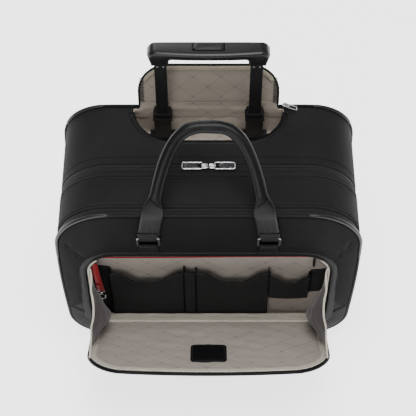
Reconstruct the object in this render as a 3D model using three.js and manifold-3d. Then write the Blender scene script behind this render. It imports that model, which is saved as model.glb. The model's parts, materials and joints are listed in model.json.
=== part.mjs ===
// Pilot rolling flight case, in millimetres: X to the right, Y to the back, Z up, wheels and feet on Z = 0.
// The case stands on two wheels and two feet. Its front pocket hangs open, its top well is open and
// the telescopic handle is pulled out a little way.
import * as THREE from 'three';
import { mergeVertices } from 'three/addons/utils/BufferGeometryUtils.js';
import Module from 'manifold-3d';

const wasm = await Module();
wasm.setup();

// ---- Driving dimensions -------------------------------------------------------------------------

const gap = 0.3;                    // air left between pieces that touch
const curveSegments = 6;            // flats in each quarter of a rounded corner

// Case body: its outline seen from the front, and the planes that cut it from front to back.
const caseHalfWidth = 209;
const caseBottom = 22;
const caseTop = 345;
const topRadius = 68;
const bottomRadius = 60;
const shellWall = 4;
const rearFace = 100;
const mainZipY = -13.5;
const frontFace = -100;
const frontZipY = frontFace + 10.5;
const zipBand = 5.5;                // depth of one half of a zip, front to back
const zipWall = 2.5;
const zipEnd = 60;                  // height at which each zip stops
const panelThickness = 4.7;
const dividerThickness = 3;
const dividerSetback = 3;           // from the shell's rear edge to the divider
const pipingReach = 3;
const pipingDepth = 5;
const liningWall = 1.4;
const mainBackY = rearFace - 32;    // rear of the main compartment
const boardThickness = 3;

// Top well.
const wellHalfWidth = 110;
const wellFront = rearFace - 68;
const wellRadius = 60;
const wellFloor = caseTop - 55;
const wellWall = 2.2;
const bindingWidth = 6;
const bindingThickness = 2;
const wellFlapHalfWidth = wellHalfWidth - 8;
const wellFlapLength = 70;
const wellFlapRadius = 45;
const wellFlapThickness = 4;
const wellFlapHingeY = rearFace - 3;
const wellFlapLean = 16;            // degrees past upright

// Telescopic handle: four stages of tube, each with the clearance that it slides in.
const trolleyHalfSpan = 67;
const trolleyY = rearFace - 18;
const upperTubeWidth = 17.2;
const upperTubeDepth = 9.2;
const tubeWall = 1.4;
const tubeClearance = 0.4;
const tubeFootZ = 44;
const stageLift = 4;                // each stage's foot above the foot of the stage round it
const bezelHeight = 7;
const bezelWidth = 40;
const bezelDepth = 22.4;
const bracketHeight = 14;
const bracketMargin = 4;
const bracketSetback = 1;
const collarHeight = 3.7;
const lowerRaised = 45;             // how far each stage stands out of the one below
const middleRaised = 4;
const upperRaised = 98;
const gripHalfWidth = trolleyHalfSpan + 17;
const gripDepth = 22;
const gripHeight = 38;
const gripBar = 24;
const gripLeg = 29;
const gripSocket = 14;
const buttonWidth = 43;
const buttonDepth = 12;
const buttonSeat = 4.5;
const buttonProud = 1.5;
const buttonTravel = 3;

// Wheels, axles and feet.
const wheelX = caseHalfWidth - 21;
const wheelY = rearFace - 22;
const wheelRadius = 33;
const wheelWidth = 26;
const hubRadius = 18;
const axleRadius = 4;
const housingWall = 4;
const wheelClearance = 2.5;
const housingInnerX = wheelX - wheelWidth / 2 - wheelClearance - housingWall;
const housingOuterX = wheelX + wheelWidth / 2 + wheelClearance + housingWall;
const housingFront = rearFace - 64;
const housingRear = rearFace + 4;
const housingBottom = 16;
const housingTop = 84;
const housingRadius = 20;
const basePlateThickness = 5.7;
const basePlateMargin = 1;
const basePlateRadius = 20;
const footX = caseHalfWidth - 59;
const footY = frontFace + 30;
const footRadius = 12;

// Front pocket, its organizer and its flap.
const openingHalfWidth = caseHalfWidth - 30;
const openingBottom = 70;
const openingTop = caseTop - 97;
const openingRadius = 45;
const tubWall = 2;
const tubBackY = frontFace + 24;
const tubMargin = 6;                // how far the tub runs past the opening behind the front panel
const tubWell = 26;                 // how far it drops below the opening
const flapHalfWidth = openingHalfWidth - 2;
const flapLength = openingTop - openingBottom + 2;
const flapRadius = 45;
const flapThickness = 5;
const flapHingeY = frontFace - 4;
const flapHingeZ = openingBottom + 2.5;
const flapOpen = 56;                // degrees from upright
const gussetThickness = 1.5;
const gussetHeight = flapLength - 32;
const pocketDepth = 10;
const pocketWall = 1.6;

// Carry handle: rings in tabs on the front, and a padded arch that leans back over the top.
const ringX = 85;
const ringWidth = 34;
const ringWire = 4;
const ringReach = 23;               // from the lower bar's axis to the upper bar's
const ringTilt = 7;                 // degrees forward of upright
const ringY = frontFace - 6;
const ringZ = caseTop - 61;
const loopBore = 3.2;
const loopWall = 2;
const loopLength = 24;
const handleHalfSpan = ringX - 1;
const handleLength = 175;
const handleRise = 1.2;             // exponents of the arch's outline
const handleSpread = 3.23;
const strapHalfWidth = 15;
const rollHalfWidth = 9;
const strapLength = 72;
const handleThickness = 9;
const leanStart = 2;                // degrees, at the rings
const leanEnd = 45;                 // degrees, over the top
const bendStart = 46;
const bendRadius = 34;

// Zip pulls.
const sliderLength = 10;
const sliderWidth = 9;
const sliderHeight = 4.5;
const pullThickness = 2;

// ---- Geometry helpers ---------------------------------------------------------------------------

const degrees = THREE.MathUtils.degToRad;

function toSolid(geometry) {
  const bare = geometry.clone();
  bare.deleteAttribute('normal');
  bare.deleteAttribute('uv');
  const merged = mergeVertices(bare, 1e-4);
  return new wasm.Manifold(new wasm.Mesh({
    numProp: 3,
    vertProperties: new Float32Array(merged.attributes.position.array),
    triVerts: new Uint32Array(merged.index.array),
  }));
}

function toGeometry(solid) {
  const mesh = solid.getMesh();
  const geometry = new THREE.BufferGeometry();
  geometry.setAttribute('position', new THREE.BufferAttribute(mesh.vertProperties, 3));
  geometry.setIndex(new THREE.BufferAttribute(mesh.triVerts, 1));
  return geometry;
}

const cut = (geometry, ...tools) =>
  toGeometry(tools.reduce((solid, tool) => solid.subtract(toSolid(tool)), toSolid(geometry)));

const join = (geometry, ...others) =>
  toGeometry(others.reduce((solid, other) => solid.add(toSolid(other)), toSolid(geometry)));

// A block between two opposite corners.
function block(x0, y0, z0, x1, y1, z1) {
  return new THREE.BoxGeometry(x1 - x0, y1 - y0, z1 - z0)
    .translate((x0 + x1) / 2, (y0 + y1) / 2, (z0 + z1) / 2);
}

// A rectangle whose lower and upper corners have their own radii.
function roundedShape(x0, y0, x1, y1, lowRadius, highRadius, ShapeType = THREE.Shape) {
  const shape = new ShapeType();
  const corner = (x, y, radius, from) => {
    if (radius > 0) shape.absarc(x, y, radius, from, from + Math.PI / 2, false);
    else shape.lineTo(x, y);
  };
  shape.moveTo(x0 + lowRadius, y0);
  shape.lineTo(x1 - lowRadius, y0);
  corner(x1 - lowRadius, y0 + lowRadius, lowRadius, -Math.PI / 2);
  corner(x1 - highRadius, y1 - highRadius, highRadius, 0);
  corner(x0 + highRadius, y1 - highRadius, highRadius, Math.PI / 2);
  corner(x0 + lowRadius, y0 + lowRadius, lowRadius, Math.PI);
  return shape;
}

const extrude = (shape, depth, options = {}) =>
  new THREE.ExtrudeGeometry(shape, { depth, bevelEnabled: false, curveSegments, ...options });

// A shape drawn in X and Z, carried from y0 back to y1.
const extrudeY = (shape, y0, y1, options) =>
  extrude(shape, y1 - y0, options).rotateX(Math.PI / 2).translate(0, y1, 0);

// A shape drawn in X and Y, carried from z0 up to z1.
const extrudeZ = (shape, z0, z1) => extrude(shape, z1 - z0).translate(0, 0, z0);

// A shape drawn in Y and Z, carried from x0 to x1.
const turnToYZ = new THREE.Matrix4().makeBasis(
  new THREE.Vector3(0, 1, 0), new THREE.Vector3(0, 0, 1), new THREE.Vector3(1, 0, 0));
const extrudeX = (shape, x0, x1) => extrude(shape, x1 - x0).applyMatrix4(turnToYZ).translate(x0, 0, 0);

// A closed ring profile of [radius, along] points turned about an axis parallel to X.
function turnedRing(points, segments = 32) {
  const profile = [...points, points[0]].map(([radius, along]) => new THREE.Vector2(radius, along));
  return new THREE.LatheGeometry(profile, segments).rotateZ(-Math.PI / 2);
}

// A plain tube about an axis parallel to X, centred on the origin.
const sleeve = (inner, outer, length, segments) => turnedRing([
  [inner, -length / 2], [outer, -length / 2], [outer, length / 2], [inner, length / 2],
], segments);

// A rod along X, centred on the origin.
const rod = (radius, length, segments = 24) =>
  new THREE.CylinderGeometry(radius, radius, length, segments).rotateZ(Math.PI / 2);

// ---- Assembly helpers ---------------------------------------------------------------------------

const finish = (color, roughness, metalness = 0) => ({ color, roughness, metalness });
const ballisticCloth = finish(0x2b2b2c, 0.85);
const blackLeather = finish(0x1d1d1e, 0.55);
const beigeLining = finish(0x8d857e, 0.8);
const shadedLining = finish(0x746c66, 0.85);
const blackPlastic = finish(0x1a1a1b, 0.45);
const zipTape = finish(0x151516, 0.75);
const stiffBoard = finish(0x3a3430, 0.8);
const tubeMetal = finish(0x111112, 0.3, 0.6);
const darkMetal = finish(0x4a4a4d, 0.3, 1);
const brightMetal = finish(0xb8babd, 0.25, 1);
const tyreRubber = finish(0x161616, 0.7);
const redStrap = finish(0x8c1020, 0.6);

function part(name, geometry, look, parent) {
  const mesh = new THREE.Mesh(geometry, new THREE.MeshStandardMaterial(look));
  mesh.name = name;
  parent.add(mesh);
  return mesh;
}

// A group whose origin is an axis parallel to X at (y, z), turned about it by an angle in degrees.
function turnedGroup(parent, y, z, angle) {
  const group = new THREE.Group();
  group.position.set(0, y, z);
  group.rotation.x = degrees(angle);
  parent.add(group);
  return group;
}

const sides = [['left', -1], ['right', 1]];

const flightCase = new THREE.Group();

// ---- Case outline -------------------------------------------------------------------------------

// The case's outline seen from the front, drawn in by an inset, or out by a negative one.
function caseOutline(inset, ShapeType) {
  return roundedShape(
    -caseHalfWidth + inset, caseBottom + inset, caseHalfWidth - inset, caseTop - inset,
    bottomRadius - inset, topRadius - inset, ShapeType);
}

const casePrism = (inset, y0, y1) => extrudeY(caseOutline(inset), y0, y1);

function caseBand(outerInset, innerInset, y0, y1) {
  const shape = caseOutline(outerInset);
  shape.holes.push(caseOutline(innerInset, THREE.Path));
  return extrudeY(shape, y0, y1);
}

// Everything below a height, for cutting a band open at the bottom of the case.
const below = (z) => block(-caseHalfWidth * 2, frontFace * 2, -caseTop, caseHalfWidth * 2, rearFace * 2, z);

// ---- Top well outline ---------------------------------------------------------------------------

const boardRear = rearFace - shellWall - gap;
const wellRear = rearFace - shellWall - gap - wellWall;

// The well's mouth seen from above, square at the back and rounded at the front, grown all round.
const wellPrism = (grow, z0, z1) => extrudeZ(roundedShape(
  -wellHalfWidth - grow, wellFront - grow, wellHalfWidth + grow, wellRear + grow,
  wellRadius + grow, 0), z0, z1);

// ---- Wheel housing outline ----------------------------------------------------------------------

function housingBlock(side, grow) {
  const profile = roundedShape(
    housingFront - grow, housingBottom - grow, housingRear + grow, housingTop + grow,
    0, housingRadius + grow);
  return side > 0
    ? extrudeX(profile, housingInnerX - grow, housingOuterX + grow)
    : extrudeX(profile, -housingOuterX - grow, -housingInnerX + grow);
}

const bothHousings = (grow) => sides.map(([, side]) => housingBlock(side, grow));

// ---- Rear section: shell, boards and linings ----------------------------------------------------

const rearShellFront = mainZipY + zipBand;
const trolleyStages = ['outer', 'lower', 'middle', 'upper'];

function buildRearSection() {
  part('rear_shell', cut(
    casePrism(0, rearShellFront, rearFace),
    casePrism(shellWall, rearShellFront - gap, rearFace - shellWall),
    wellPrism(wellWall + gap, wellFloor, caseTop + shellWall),
    ...bothHousings(gap)), ballisticCloth, flightCase);

  part('main_zip_rear_half', cut(
    caseBand(gap, gap + zipWall, mainZipY + gap / 2, rearShellFront - gap),
    below(zipEnd)), zipTape, flightCase);

  part('rear_piping', cut(
    caseBand(-gap - pipingReach, -gap, rearFace - pipingDepth, rearFace),
    below(housingTop + gap)), blackPlastic, flightCase);

  // The lining steps round the well and the wheel housings, with a wall of its own on each of them.
  const liningInset = shellWall + gap;
  const stepped = (inset, y0, y1, grow) => cut(
    casePrism(inset, y0, y1), wellPrism(grow, wellFloor - grow, caseTop * 2), ...bothHousings(grow));
  const liningGrow = wellWall + gap;
  part('main_lining', cut(
    stepped(liningInset, rearShellFront + gap, mainBackY, liningGrow),
    stepped(liningInset + liningWall, rearShellFront, mainBackY - liningWall, liningGrow + liningWall),
  ), beigeLining, flightCase);

  part('back_board', cut(
    casePrism(shellWall + gap, boardRear - boardThickness, boardRear),
    block(-wellHalfWidth - liningGrow, 0, wellFloor - liningGrow, wellHalfWidth + liningGrow,
      rearFace, caseTop),
    ...bothHousings(gap)), stiffBoard, flightCase);

  part('base_plate', extrudeZ(roundedShape(
    -housingInnerX + gap + basePlateMargin, frontZipY + zipBand + basePlateMargin,
    housingInnerX - gap - basePlateMargin, rearFace - shellWall, basePlateRadius, 0),
  housingBottom, housingBottom + basePlateThickness), blackPlastic, flightCase);
}

// ---- Top well -----------------------------------------------------------------------------------

// Width and depth of a tube stage, counted outwards from the upper tube.
function stageSection(stage) {
  const steps = trolleyStages.length - 1 - trolleyStages.indexOf(stage);
  const growth = 2 * steps * (tubeWall + tubeClearance);
  return [upperTubeWidth + growth, upperTubeDepth + growth];
}

// A rectangular prism round a trolley tube's axis on one side.
function tubePrism(side, [width, depth], z0, z1) {
  const x = side * trolleyHalfSpan;
  return block(x - width / 2, trolleyY - depth / 2, z0, x + width / 2, trolleyY + depth / 2, z1);
}

// The bore that a stage's next tube slides in.
const stageBore = (stage) => stageSection(stage).map((size) => size - 2 * tubeWall);

function buildWell() {
  const liningTop = caseTop - gap;
  part('well_lining', cut(
    wellPrism(wellWall, wellFloor - wellWall, liningTop),
    wellPrism(0, wellFloor, caseTop),
    ...sides.map(([, side]) => tubePrism(side, stageBore('outer'), wellFloor - 2 * wellWall, caseTop)),
  ), shadedLining, flightCase);

  part('well_binding', cut(
    wellPrism(bindingWidth, caseTop + gap, caseTop + gap + bindingThickness),
    wellPrism(0, wellFloor, caseTop * 2),
    block(-caseHalfWidth, wellRear - bindingWidth, caseTop, caseHalfWidth, rearFace * 2, caseTop * 2),
  ), blackLeather, flightCase);

  const hingeZ = caseTop + gap + bindingThickness + gap + wellFlapThickness / 2;
  const flap = turnedGroup(flightCase, wellFlapHingeY, hingeZ, -wellFlapLean);
  part('well_flap_panel', extrudeY(roundedShape(
    -wellFlapHalfWidth, wellFlapThickness, wellFlapHalfWidth, wellFlapLength, 0, wellFlapRadius),
  -wellFlapThickness / 2, wellFlapThickness / 2), beigeLining, flap);

  // The well's zip slider stays beside the flap's right end, with its pull lying outwards.
  const pullX = wellHalfWidth + gap;
  const pullY = rearFace - pipingDepth - gap - 3;
  part('well_zip_pull', join(
    block(pullX, pullY - 3, caseTop + gap, pullX + sliderLength, pullY + 3, caseTop + sliderHeight),
    block(pullX + 8, pullY - 2.5, caseTop + 1.5, pullX + 22, pullY + 2.5, caseTop + 1.5 + pullThickness),
  ), brightMetal, flightCase);
}

// ---- Telescopic handle --------------------------------------------------------------------------

// Heights of the collars' undersides with the handle pushed right down.
const bezelTop = wellFloor + gap + bezelHeight;
const lowerCollarZ = bezelTop + gap;
const middleCollarZ = lowerCollarZ + collarHeight + gap;
const gripFootZ = middleCollarZ + collarHeight + gap;

// One sliding stage: a tube with a collar that rests on the stage below.
function collaredTube(side, stage, stageRound, footZ, collarZ, raised) {
  const bore = tubePrism(side, stageBore(stage), footZ - 1, collarZ + collarHeight + 1);
  return cut(join(
    tubePrism(side, stageSection(stage), footZ, collarZ + 1),
    tubePrism(side, stageSection(stageRound), collarZ, collarZ + collarHeight),
  ), bore).translate(0, 0, raised);
}

function buildTrolley() {
  const lowerLift = lowerRaised;
  const middleLift = lowerLift + middleRaised;
  const upperLift = middleLift + upperRaised;

  for (const [name, side] of sides) {
    part(`outer_tube_${name}`, cut(
      tubePrism(side, stageSection('outer'), tubeFootZ, wellFloor - wellWall - gap),
      tubePrism(side, stageBore('outer'), tubeFootZ - 1, wellFloor)), tubeMetal, flightCase);

    part(`tube_bezel_${name}`, cut(
      tubePrism(side, [bezelWidth, bezelDepth], wellFloor + gap, bezelTop),
      tubePrism(side, stageBore('outer'), wellFloor, bezelTop + 1)), blackPlastic, flightCase);

    part(`lower_tube_${name}`, collaredTube(
      side, 'lower', 'outer', tubeFootZ + stageLift, lowerCollarZ, lowerLift), tubeMetal, flightCase);
    part(`middle_tube_${name}`, collaredTube(
      side, 'middle', 'lower', tubeFootZ + 2 * stageLift, middleCollarZ, middleLift),
    tubeMetal, flightCase);
    part(`upper_tube_${name}`, cut(
      tubePrism(side, stageSection('upper'), tubeFootZ + 3 * stageLift, gripFootZ + gripSocket),
      tubePrism(side, stageBore('upper'), tubeFootZ, gripFootZ + gripSocket + 1),
    ).translate(0, 0, upperLift), tubeMetal, flightCase);
  }

  const [outerWidth] = stageSection('outer');
  const bracketHalf = trolleyHalfSpan + outerWidth / 2 + bracketMargin;
  part('tube_foot_bracket', block(
    -bracketHalf, trolleyY - bezelDepth / 2, tubeFootZ - bracketHeight,
    bracketHalf, trolleyY + bezelDepth / 2 - bracketSetback, tubeFootZ - gap), blackPlastic, flightCase);

  const gripTop = gripFootZ + gripHeight;
  const buttonPocket = buttonSeat + buttonTravel + gap;
  const socketSize = stageSection('upper').map((size) => size + 2 * gap);
  part('grip', cut(
    gripBody(gripTop),
    block(-buttonWidth / 2 - gap, trolleyY - buttonDepth / 2 - gap, gripTop - buttonPocket,
      buttonWidth / 2 + gap, trolleyY + buttonDepth / 2 + gap, gripTop + 1),
    ...sides.map(([, side]) => tubePrism(side, socketSize, gripFootZ - 1, gripFootZ + gripSocket + gap)),
  ).translate(0, 0, upperLift), blackPlastic, flightCase);

  part('grip_button', extrudeZ(roundedShape(
    -buttonWidth / 2, trolleyY - buttonDepth / 2, buttonWidth / 2, trolleyY + buttonDepth / 2, 3, 3),
  gripTop - buttonSeat + upperLift, gripTop + buttonProud + upperLift), blackPlastic, flightCase);
}

// The grip: a bar with chamfered shoulders and two legs that narrow downwards, bevelled all round.
function gripBody(top) {
  const chamfer = 9;
  const taper = 3;
  const bevel = 3;
  const archRadius = 9;
  const legInner = gripHalfWidth - gripLeg;
  const barZ = top - gripBar;
  const shape = new THREE.Shape();
  shape.moveTo(-gripHalfWidth + taper, gripFootZ);
  shape.lineTo(-legInner, gripFootZ);
  shape.lineTo(-legInner, barZ - archRadius);
  shape.absarc(-legInner + archRadius, barZ - archRadius, archRadius, Math.PI, Math.PI / 2, true);
  shape.absarc(legInner - archRadius, barZ - archRadius, archRadius, Math.PI / 2, 0, true);
  shape.lineTo(legInner, gripFootZ);
  shape.lineTo(gripHalfWidth - taper, gripFootZ);
  shape.lineTo(gripHalfWidth, top - chamfer);
  shape.lineTo(gripHalfWidth - chamfer, top);
  shape.lineTo(-gripHalfWidth + chamfer, top);
  shape.lineTo(-gripHalfWidth, top - chamfer);
  shape.closePath();
  const front = trolleyY - gripDepth / 2;
  return extrude(shape, gripDepth - 2 * bevel, {
    bevelEnabled: true, bevelThickness: bevel, bevelSize: bevel, bevelOffset: -bevel, bevelSegments: 2,
  }).rotateX(Math.PI / 2).translate(0, front + gripDepth - bevel, 0);
}

// ---- Wheels and feet ----------------------------------------------------------------------------

function buildRunningGear() {
  const tyreInner = hubRadius + gap;
  const half = wheelWidth / 2;
  for (const [name, side] of sides) {
    const at = (geometry) => geometry.translate(side * wheelX, wheelY, wheelRadius);
    const archRadius = wheelRadius + wheelClearance;
    const archLength = wheelWidth + 2 * wheelClearance;
    part(`wheel_housing_${name}`, cut(
      housingBlock(side, 0),
      at(rod(archRadius, archLength, 40)),
      at(block(-archLength / 2, -archRadius, -wheelRadius, archLength / 2, archRadius, 0)),
    ), blackPlastic, flightCase);

    part(`tyre_${name}`, at(turnedRing([
      [tyreInner, -half + 2], [wheelRadius - 4, -half], [wheelRadius, -half + 6],
      [wheelRadius, half - 6], [wheelRadius - 4, half], [tyreInner, half - 2],
    ], 32)), tyreRubber, flightCase);

    const bore = axleRadius + gap;
    part(`hub_${name}`, at(turnedRing([
      [bore, -half + 1], [bore + 4, -half + 1], [bore + 5, -half + 5], [hubRadius - 4, -half + 5],
      [hubRadius - 3, -half + 1], [hubRadius, -half + 1], [hubRadius, half - 1], [hubRadius - 3, half - 1],
      [hubRadius - 4, half - 5], [bore + 5, half - 5], [bore + 4, half - 1], [bore, half - 1],
    ], 24)), blackPlastic, flightCase);

    part(`axle_${name}`, at(rod(axleRadius, archLength - 2 * gap)), darkMetal, flightCase);

    part(`foot_${name}`, new THREE.CylinderGeometry(
      footRadius, footRadius - 2, housingBottom - gap, 24)
      .rotateX(Math.PI / 2)
      .translate(side * footX, footY, (housingBottom - gap) / 2), tyreRubber, flightCase);
  }
}

// ---- Middle section -----------------------------------------------------------------------------

function buildMidSection() {
  const midRear = mainZipY - zipBand;
  const midFront = frontZipY + zipBand;
  const floorCut = below(caseBottom + gap);
  part('mid_shell', cut(caseBand(0, shellWall, midFront, midRear), floorCut), ballisticCloth, flightCase);
  part('main_zip_front_half', cut(
    caseBand(gap, gap + zipWall, midRear + gap, mainZipY - gap / 2), below(zipEnd)),
  zipTape, flightCase);
  part('front_zip_rear_half', cut(
    caseBand(gap, gap + zipWall, frontZipY + gap / 2, midFront - gap), below(zipEnd)),
  zipTape, flightCase);
  const dividerRear = midRear - dividerSetback;
  part('divider_panel', casePrism(shellWall + gap, dividerRear - dividerThickness, dividerRear),
    beigeLining, flightCase);
}

// ---- Front section, pocket and organizer --------------------------------------------------------

const panelRear = frontFace + panelThickness;

const openingPrism = (grow, y0, y1) => extrudeY(roundedShape(
  -openingHalfWidth - grow, openingBottom - grow, openingHalfWidth + grow, openingTop + grow,
  openingRadius / 3, openingRadius), y0, y1);

function buildFrontSection() {
  part('front_panel', cut(
    casePrism(0, frontFace, panelRear),
    openingPrism(0, frontFace - 1, panelRear + 1)), ballisticCloth, flightCase);
  part('front_zip_front_half', cut(
    caseBand(gap, gap + zipWall, panelRear + gap, frontZipY - gap / 2), below(zipEnd)),
  zipTape, flightCase);
  part('front_piping', caseBand(-gap - pipingReach, -gap, frontFace, frontFace + pipingDepth),
    blackPlastic, flightCase);

  const tubHalf = openingHalfWidth + tubMargin;
  const tubTop = openingTop + tubMargin;
  const tubBottom = openingBottom - tubWell;
  const tray = (inset, y0, y1) => extrudeY(roundedShape(
    -tubHalf + inset, tubBottom + inset, tubHalf - inset, tubTop - inset,
    openingRadius - inset, openingRadius - inset), y0, y1);
  part('pocket_tub', cut(
    tray(0, panelRear + gap, tubBackY),
    tray(tubWall, frontFace, tubBackY - tubWall)), beigeLining, flightCase);

  // Organizer pockets in a row on the tub's back: name, left, right, bottom, top, dip in the rim.
  const sleeveLeft = -37;
  const sleeveRight = -19;
  const rowLeft = 31 - openingHalfWidth;
  const rowRight = openingHalfWidth - 27;
  const smallLeft = rowRight - 61;
  const low = tubBottom + 8;
  const high = openingTop - 64;
  const pockets = [
    ['phone_pocket_left', rowLeft, sleeveLeft, low, high, 26],
    ['pen_sleeve', sleeveLeft, sleeveRight, low + 8, high + 3, 0],
    ['phone_pocket_right', sleeveRight, smallLeft, low, high, 26],
    ['small_pocket', smallLeft, rowRight, high - 74, high - 12, 20],
  ];
  const pocketRear = tubBackY - tubWall - gap;
  const pocketFront = pocketRear - pocketDepth;
  for (const [name, left, right, bottom, top, dip] of pockets) {
    const x0 = left + gap / 2;
    const x1 = right - gap / 2;
    const hollow = block(x0 + pocketWall, pocketFront + pocketWall, bottom + pocketWall,
      x1 - pocketWall, pocketRear + 1, top + 1);
    const body = cut(block(x0, pocketFront, bottom, x1, pocketRear, top), hollow);
    const scoop = (reach) => extrudeY(roundedShape(
      (x0 + x1) / 2 - reach, top - dip, (x0 + x1) / 2 + reach, top + 2 * dip, dip / 2, 0),
    pocketFront - 1, pocketFront + pocketWall + 1);
    part(name, dip > 0 ? cut(body, scoop((x1 - x0) * 0.3)) : body, blackLeather, flightCase);
  }

  buildKeyLeash();
  buildOrganizerPull();
  buildFlap();
}

// The key leash: a strap that ends in a swivel hook, hanging in front of the pocket's left end.
function buildKeyLeash() {
  const leashX = 13 - openingHalfWidth;
  const strapTop = openingTop - 34;
  const strapBottom = strapTop - 72;
  const hookBottom = strapBottom - 26;
  const front = frontFace + panelThickness + 1;
  const strap = block(leashX - 5, front, strapBottom, leashX + 5, front + 3, strapTop);
  const hook = new THREE.TorusGeometry(6, 1.8, 8, 20).rotateX(Math.PI / 2)
    .translate(leashX, front + 1.5, hookBottom + 7.8);
  const swivel = block(leashX - 2.5, front, hookBottom + 12, leashX + 2.5, front + 3, strapBottom + 2);
  part('key_leash', join(strap, swivel, hook), redStrap, flightCase);
}

// The pull of the zip that runs across the back of the organizer.
function buildOrganizerPull() {
  const pullX = openingHalfWidth - 23;
  const zipZ = openingTop - 29;
  const rear = tubBackY - tubWall - gap;
  part('organizer_zip_pull', join(
    block(pullX - 5, rear - 3, zipZ - 4, pullX + 5, rear, zipZ + 4),
    block(pullX - 3, rear - 2.2, zipZ - 26, pullX + 3, rear - 0.4, zipZ - 2),
  ), blackLeather, flightCase);
}

// The pocket's flap, hinged along its bottom edge, and the fabric gussets at its two ends.
function buildFlap() {
  const flap = turnedGroup(flightCase, flapHingeY, flapHingeZ, flapOpen);
  part('pocket_flap_panel', extrudeY(roundedShape(
    -flapHalfWidth, gap, flapHalfWidth, flapLength, 0, flapRadius),
  -flapThickness / 2, flapThickness / 2), ballisticCloth, flap);

  const angle = degrees(flapOpen);
  const clear = flapThickness / 2 + 2 * gap;
  const rise = 8;
  const along = (reach, off) => [
    flapHingeY - reach * Math.sin(angle) + off * Math.cos(angle),
    flapHingeZ + reach * Math.cos(angle) + off * Math.sin(angle),
  ];
  const faceY = frontFace - gap;
  const triangle = new THREE.Shape([
    new THREE.Vector2(...along(rise, clear)),
    new THREE.Vector2(faceY, flapHingeZ + rise),
    new THREE.Vector2(faceY, flapHingeZ + gussetHeight),
    new THREE.Vector2(...along(gussetHeight, clear)),
  ].reverse());
  for (const [name, side] of sides) {
    const outer = side * (flapHalfWidth - gap);
    const inner = side * (flapHalfWidth - gap - gussetThickness);
    part(`gusset_${name}`, extrudeX(triangle, Math.min(outer, inner), Math.max(outer, inner)),
      shadedLining, flightCase);
  }
}

// ---- Carry handle -------------------------------------------------------------------------------

// The handle's sagittal path: nearly upright at the rings, bent back over the case's top edge.
function handlePoint(along, off) {
  const startAngle = degrees(leanStart);
  const endAngle = degrees(leanEnd);
  const bend = Math.min(Math.max((along - bendStart) / bendRadius, 0), endAngle - startAngle);
  const angle = startAngle + bend;
  const beyond = Math.max(along - bendStart - bendRadius * (endAngle - startAngle), 0);
  const before = Math.min(along, bendStart);
  const y = before * Math.sin(startAngle) + beyond * Math.sin(endAngle)
    + bendRadius * (Math.cos(startAngle) - Math.cos(angle));
  const z = before * Math.cos(startAngle) + beyond * Math.cos(endAngle)
    + bendRadius * (Math.sin(angle) - Math.sin(startAngle));
  return [y - off * Math.cos(angle), z + off * Math.sin(angle)];
}

// A point of the arch laid flat, by its share of the way round: a superellipse.
function archPoint(share) {
  const start = loopBore + loopWall + gap;
  const firstTurn = Math.asin((start / handleLength) ** (handleRise / 2));
  const turn = THREE.MathUtils.lerp(firstTurn, Math.PI - firstTurn, share);
  const spread = Math.sign(Math.cos(turn)) * Math.abs(Math.cos(turn)) ** (2 / handleSpread);
  return new THREE.Vector2(handleHalfSpan * spread, handleLength * Math.sin(turn) ** (2 / handleRise));
}

// A bar laid along the arch, its width easing from strap to roll, and bent over the top edge.
function bentArch() {
  const steps = 36;
  const arch = new THREE.BoxGeometry(1, 1, 1, 1, steps, 1);
  const position = arch.attributes.position;
  for (let i = 0; i < position.count; i += 1) {
    const share = position.getY(i) + 0.5;
    const point = archPoint(share);
    const atFoot = share < 1e-6 || share > 1 - 1e-6;
    const ahead = archPoint(Math.min(share + 0.5 / steps, 1));
    const across = ahead.sub(archPoint(Math.max(share - 0.5 / steps, 0))).normalize()
      .rotateAround(new THREE.Vector2(), -Math.PI / 2);
    const ease = THREE.MathUtils.smoothstep(point.y, strapLength - 12, strapLength + 12);
    const reach = THREE.MathUtils.lerp(strapHalfWidth, rollHalfWidth, ease);
    const moved = point.clone().addScaledVector(across, 2 * reach * position.getX(i));
    const [y, z] = handlePoint(atFoot ? point.y : moved.y, position.getZ(i) * handleThickness);
    position.setXYZ(i, moved.x, y, z);
  }
  return arch;
}

function buildCarryHandle() {
  const loopOuter = loopBore + loopWall;
  for (const [name, side] of sides) {
    part(`handle_tab_${name}`, join(
      cut(block(side * ringX - loopLength / 2 - 2, frontFace - 4, ringZ - 22,
        side * ringX + loopLength / 2 + 2, frontFace - gap, ringZ - loopOuter - gap),
      rod(loopBore, ringWidth).translate(side * ringX, ringY, ringZ)),
      cut(block(side * ringX - loopLength / 2, frontFace - 4, ringZ - loopOuter - 4,
        side * ringX + loopLength / 2, frontFace - gap, ringZ + 2),
      rod(loopBore + gap, ringWidth).translate(side * ringX, ringY, ringZ)),
      sleeve(loopBore, loopOuter, loopLength, 20).translate(side * ringX, ringY, ringZ),
    ), blackLeather, flightCase);
  }

  const rings = turnedGroup(flightCase, ringY, ringZ, ringTilt);
  const half = ringWidth / 2;
  const wireHalf = ringWire / 2;
  for (const [name, side] of sides) {
    const x = side * ringX;
    const ring = roundedShape(x - half, -wireHalf, x + half, ringReach + wireHalf, 5, 5);
    ring.holes.push(roundedShape(
      x - half + ringWire, wireHalf, x + half - ringWire, ringReach - wireHalf, 1, 1, THREE.Path));
    part(`ring_${name}`, extrudeY(ring, -wireHalf, wireHalf), darkMetal, rings);
  }

  const upperBar = new THREE.Vector3(0, 0, ringReach).applyAxisAngle(
    new THREE.Vector3(1, 0, 0), degrees(ringTilt));
  const loops = sides.map(([, side]) => join(
    sleeve(loopBore, loopOuter, loopLength, 20).translate(side * ringX, 0, 0),
    cut(block(side * ringX - loopLength / 2, -handleThickness / 2, 0,
      side * ringX + loopLength / 2, handleThickness / 2, loopOuter + 3),
    rod(loopBore, ringWidth).translate(side * ringX, 0, 0)),
  ));
  part('carry_handle', join(bentArch(), ...loops).translate(0, ringY + upperBar.y, ringZ + upperBar.z),
    blackLeather, flightCase);
}

// ---- Zip sliders and pulls ----------------------------------------------------------------------

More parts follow.
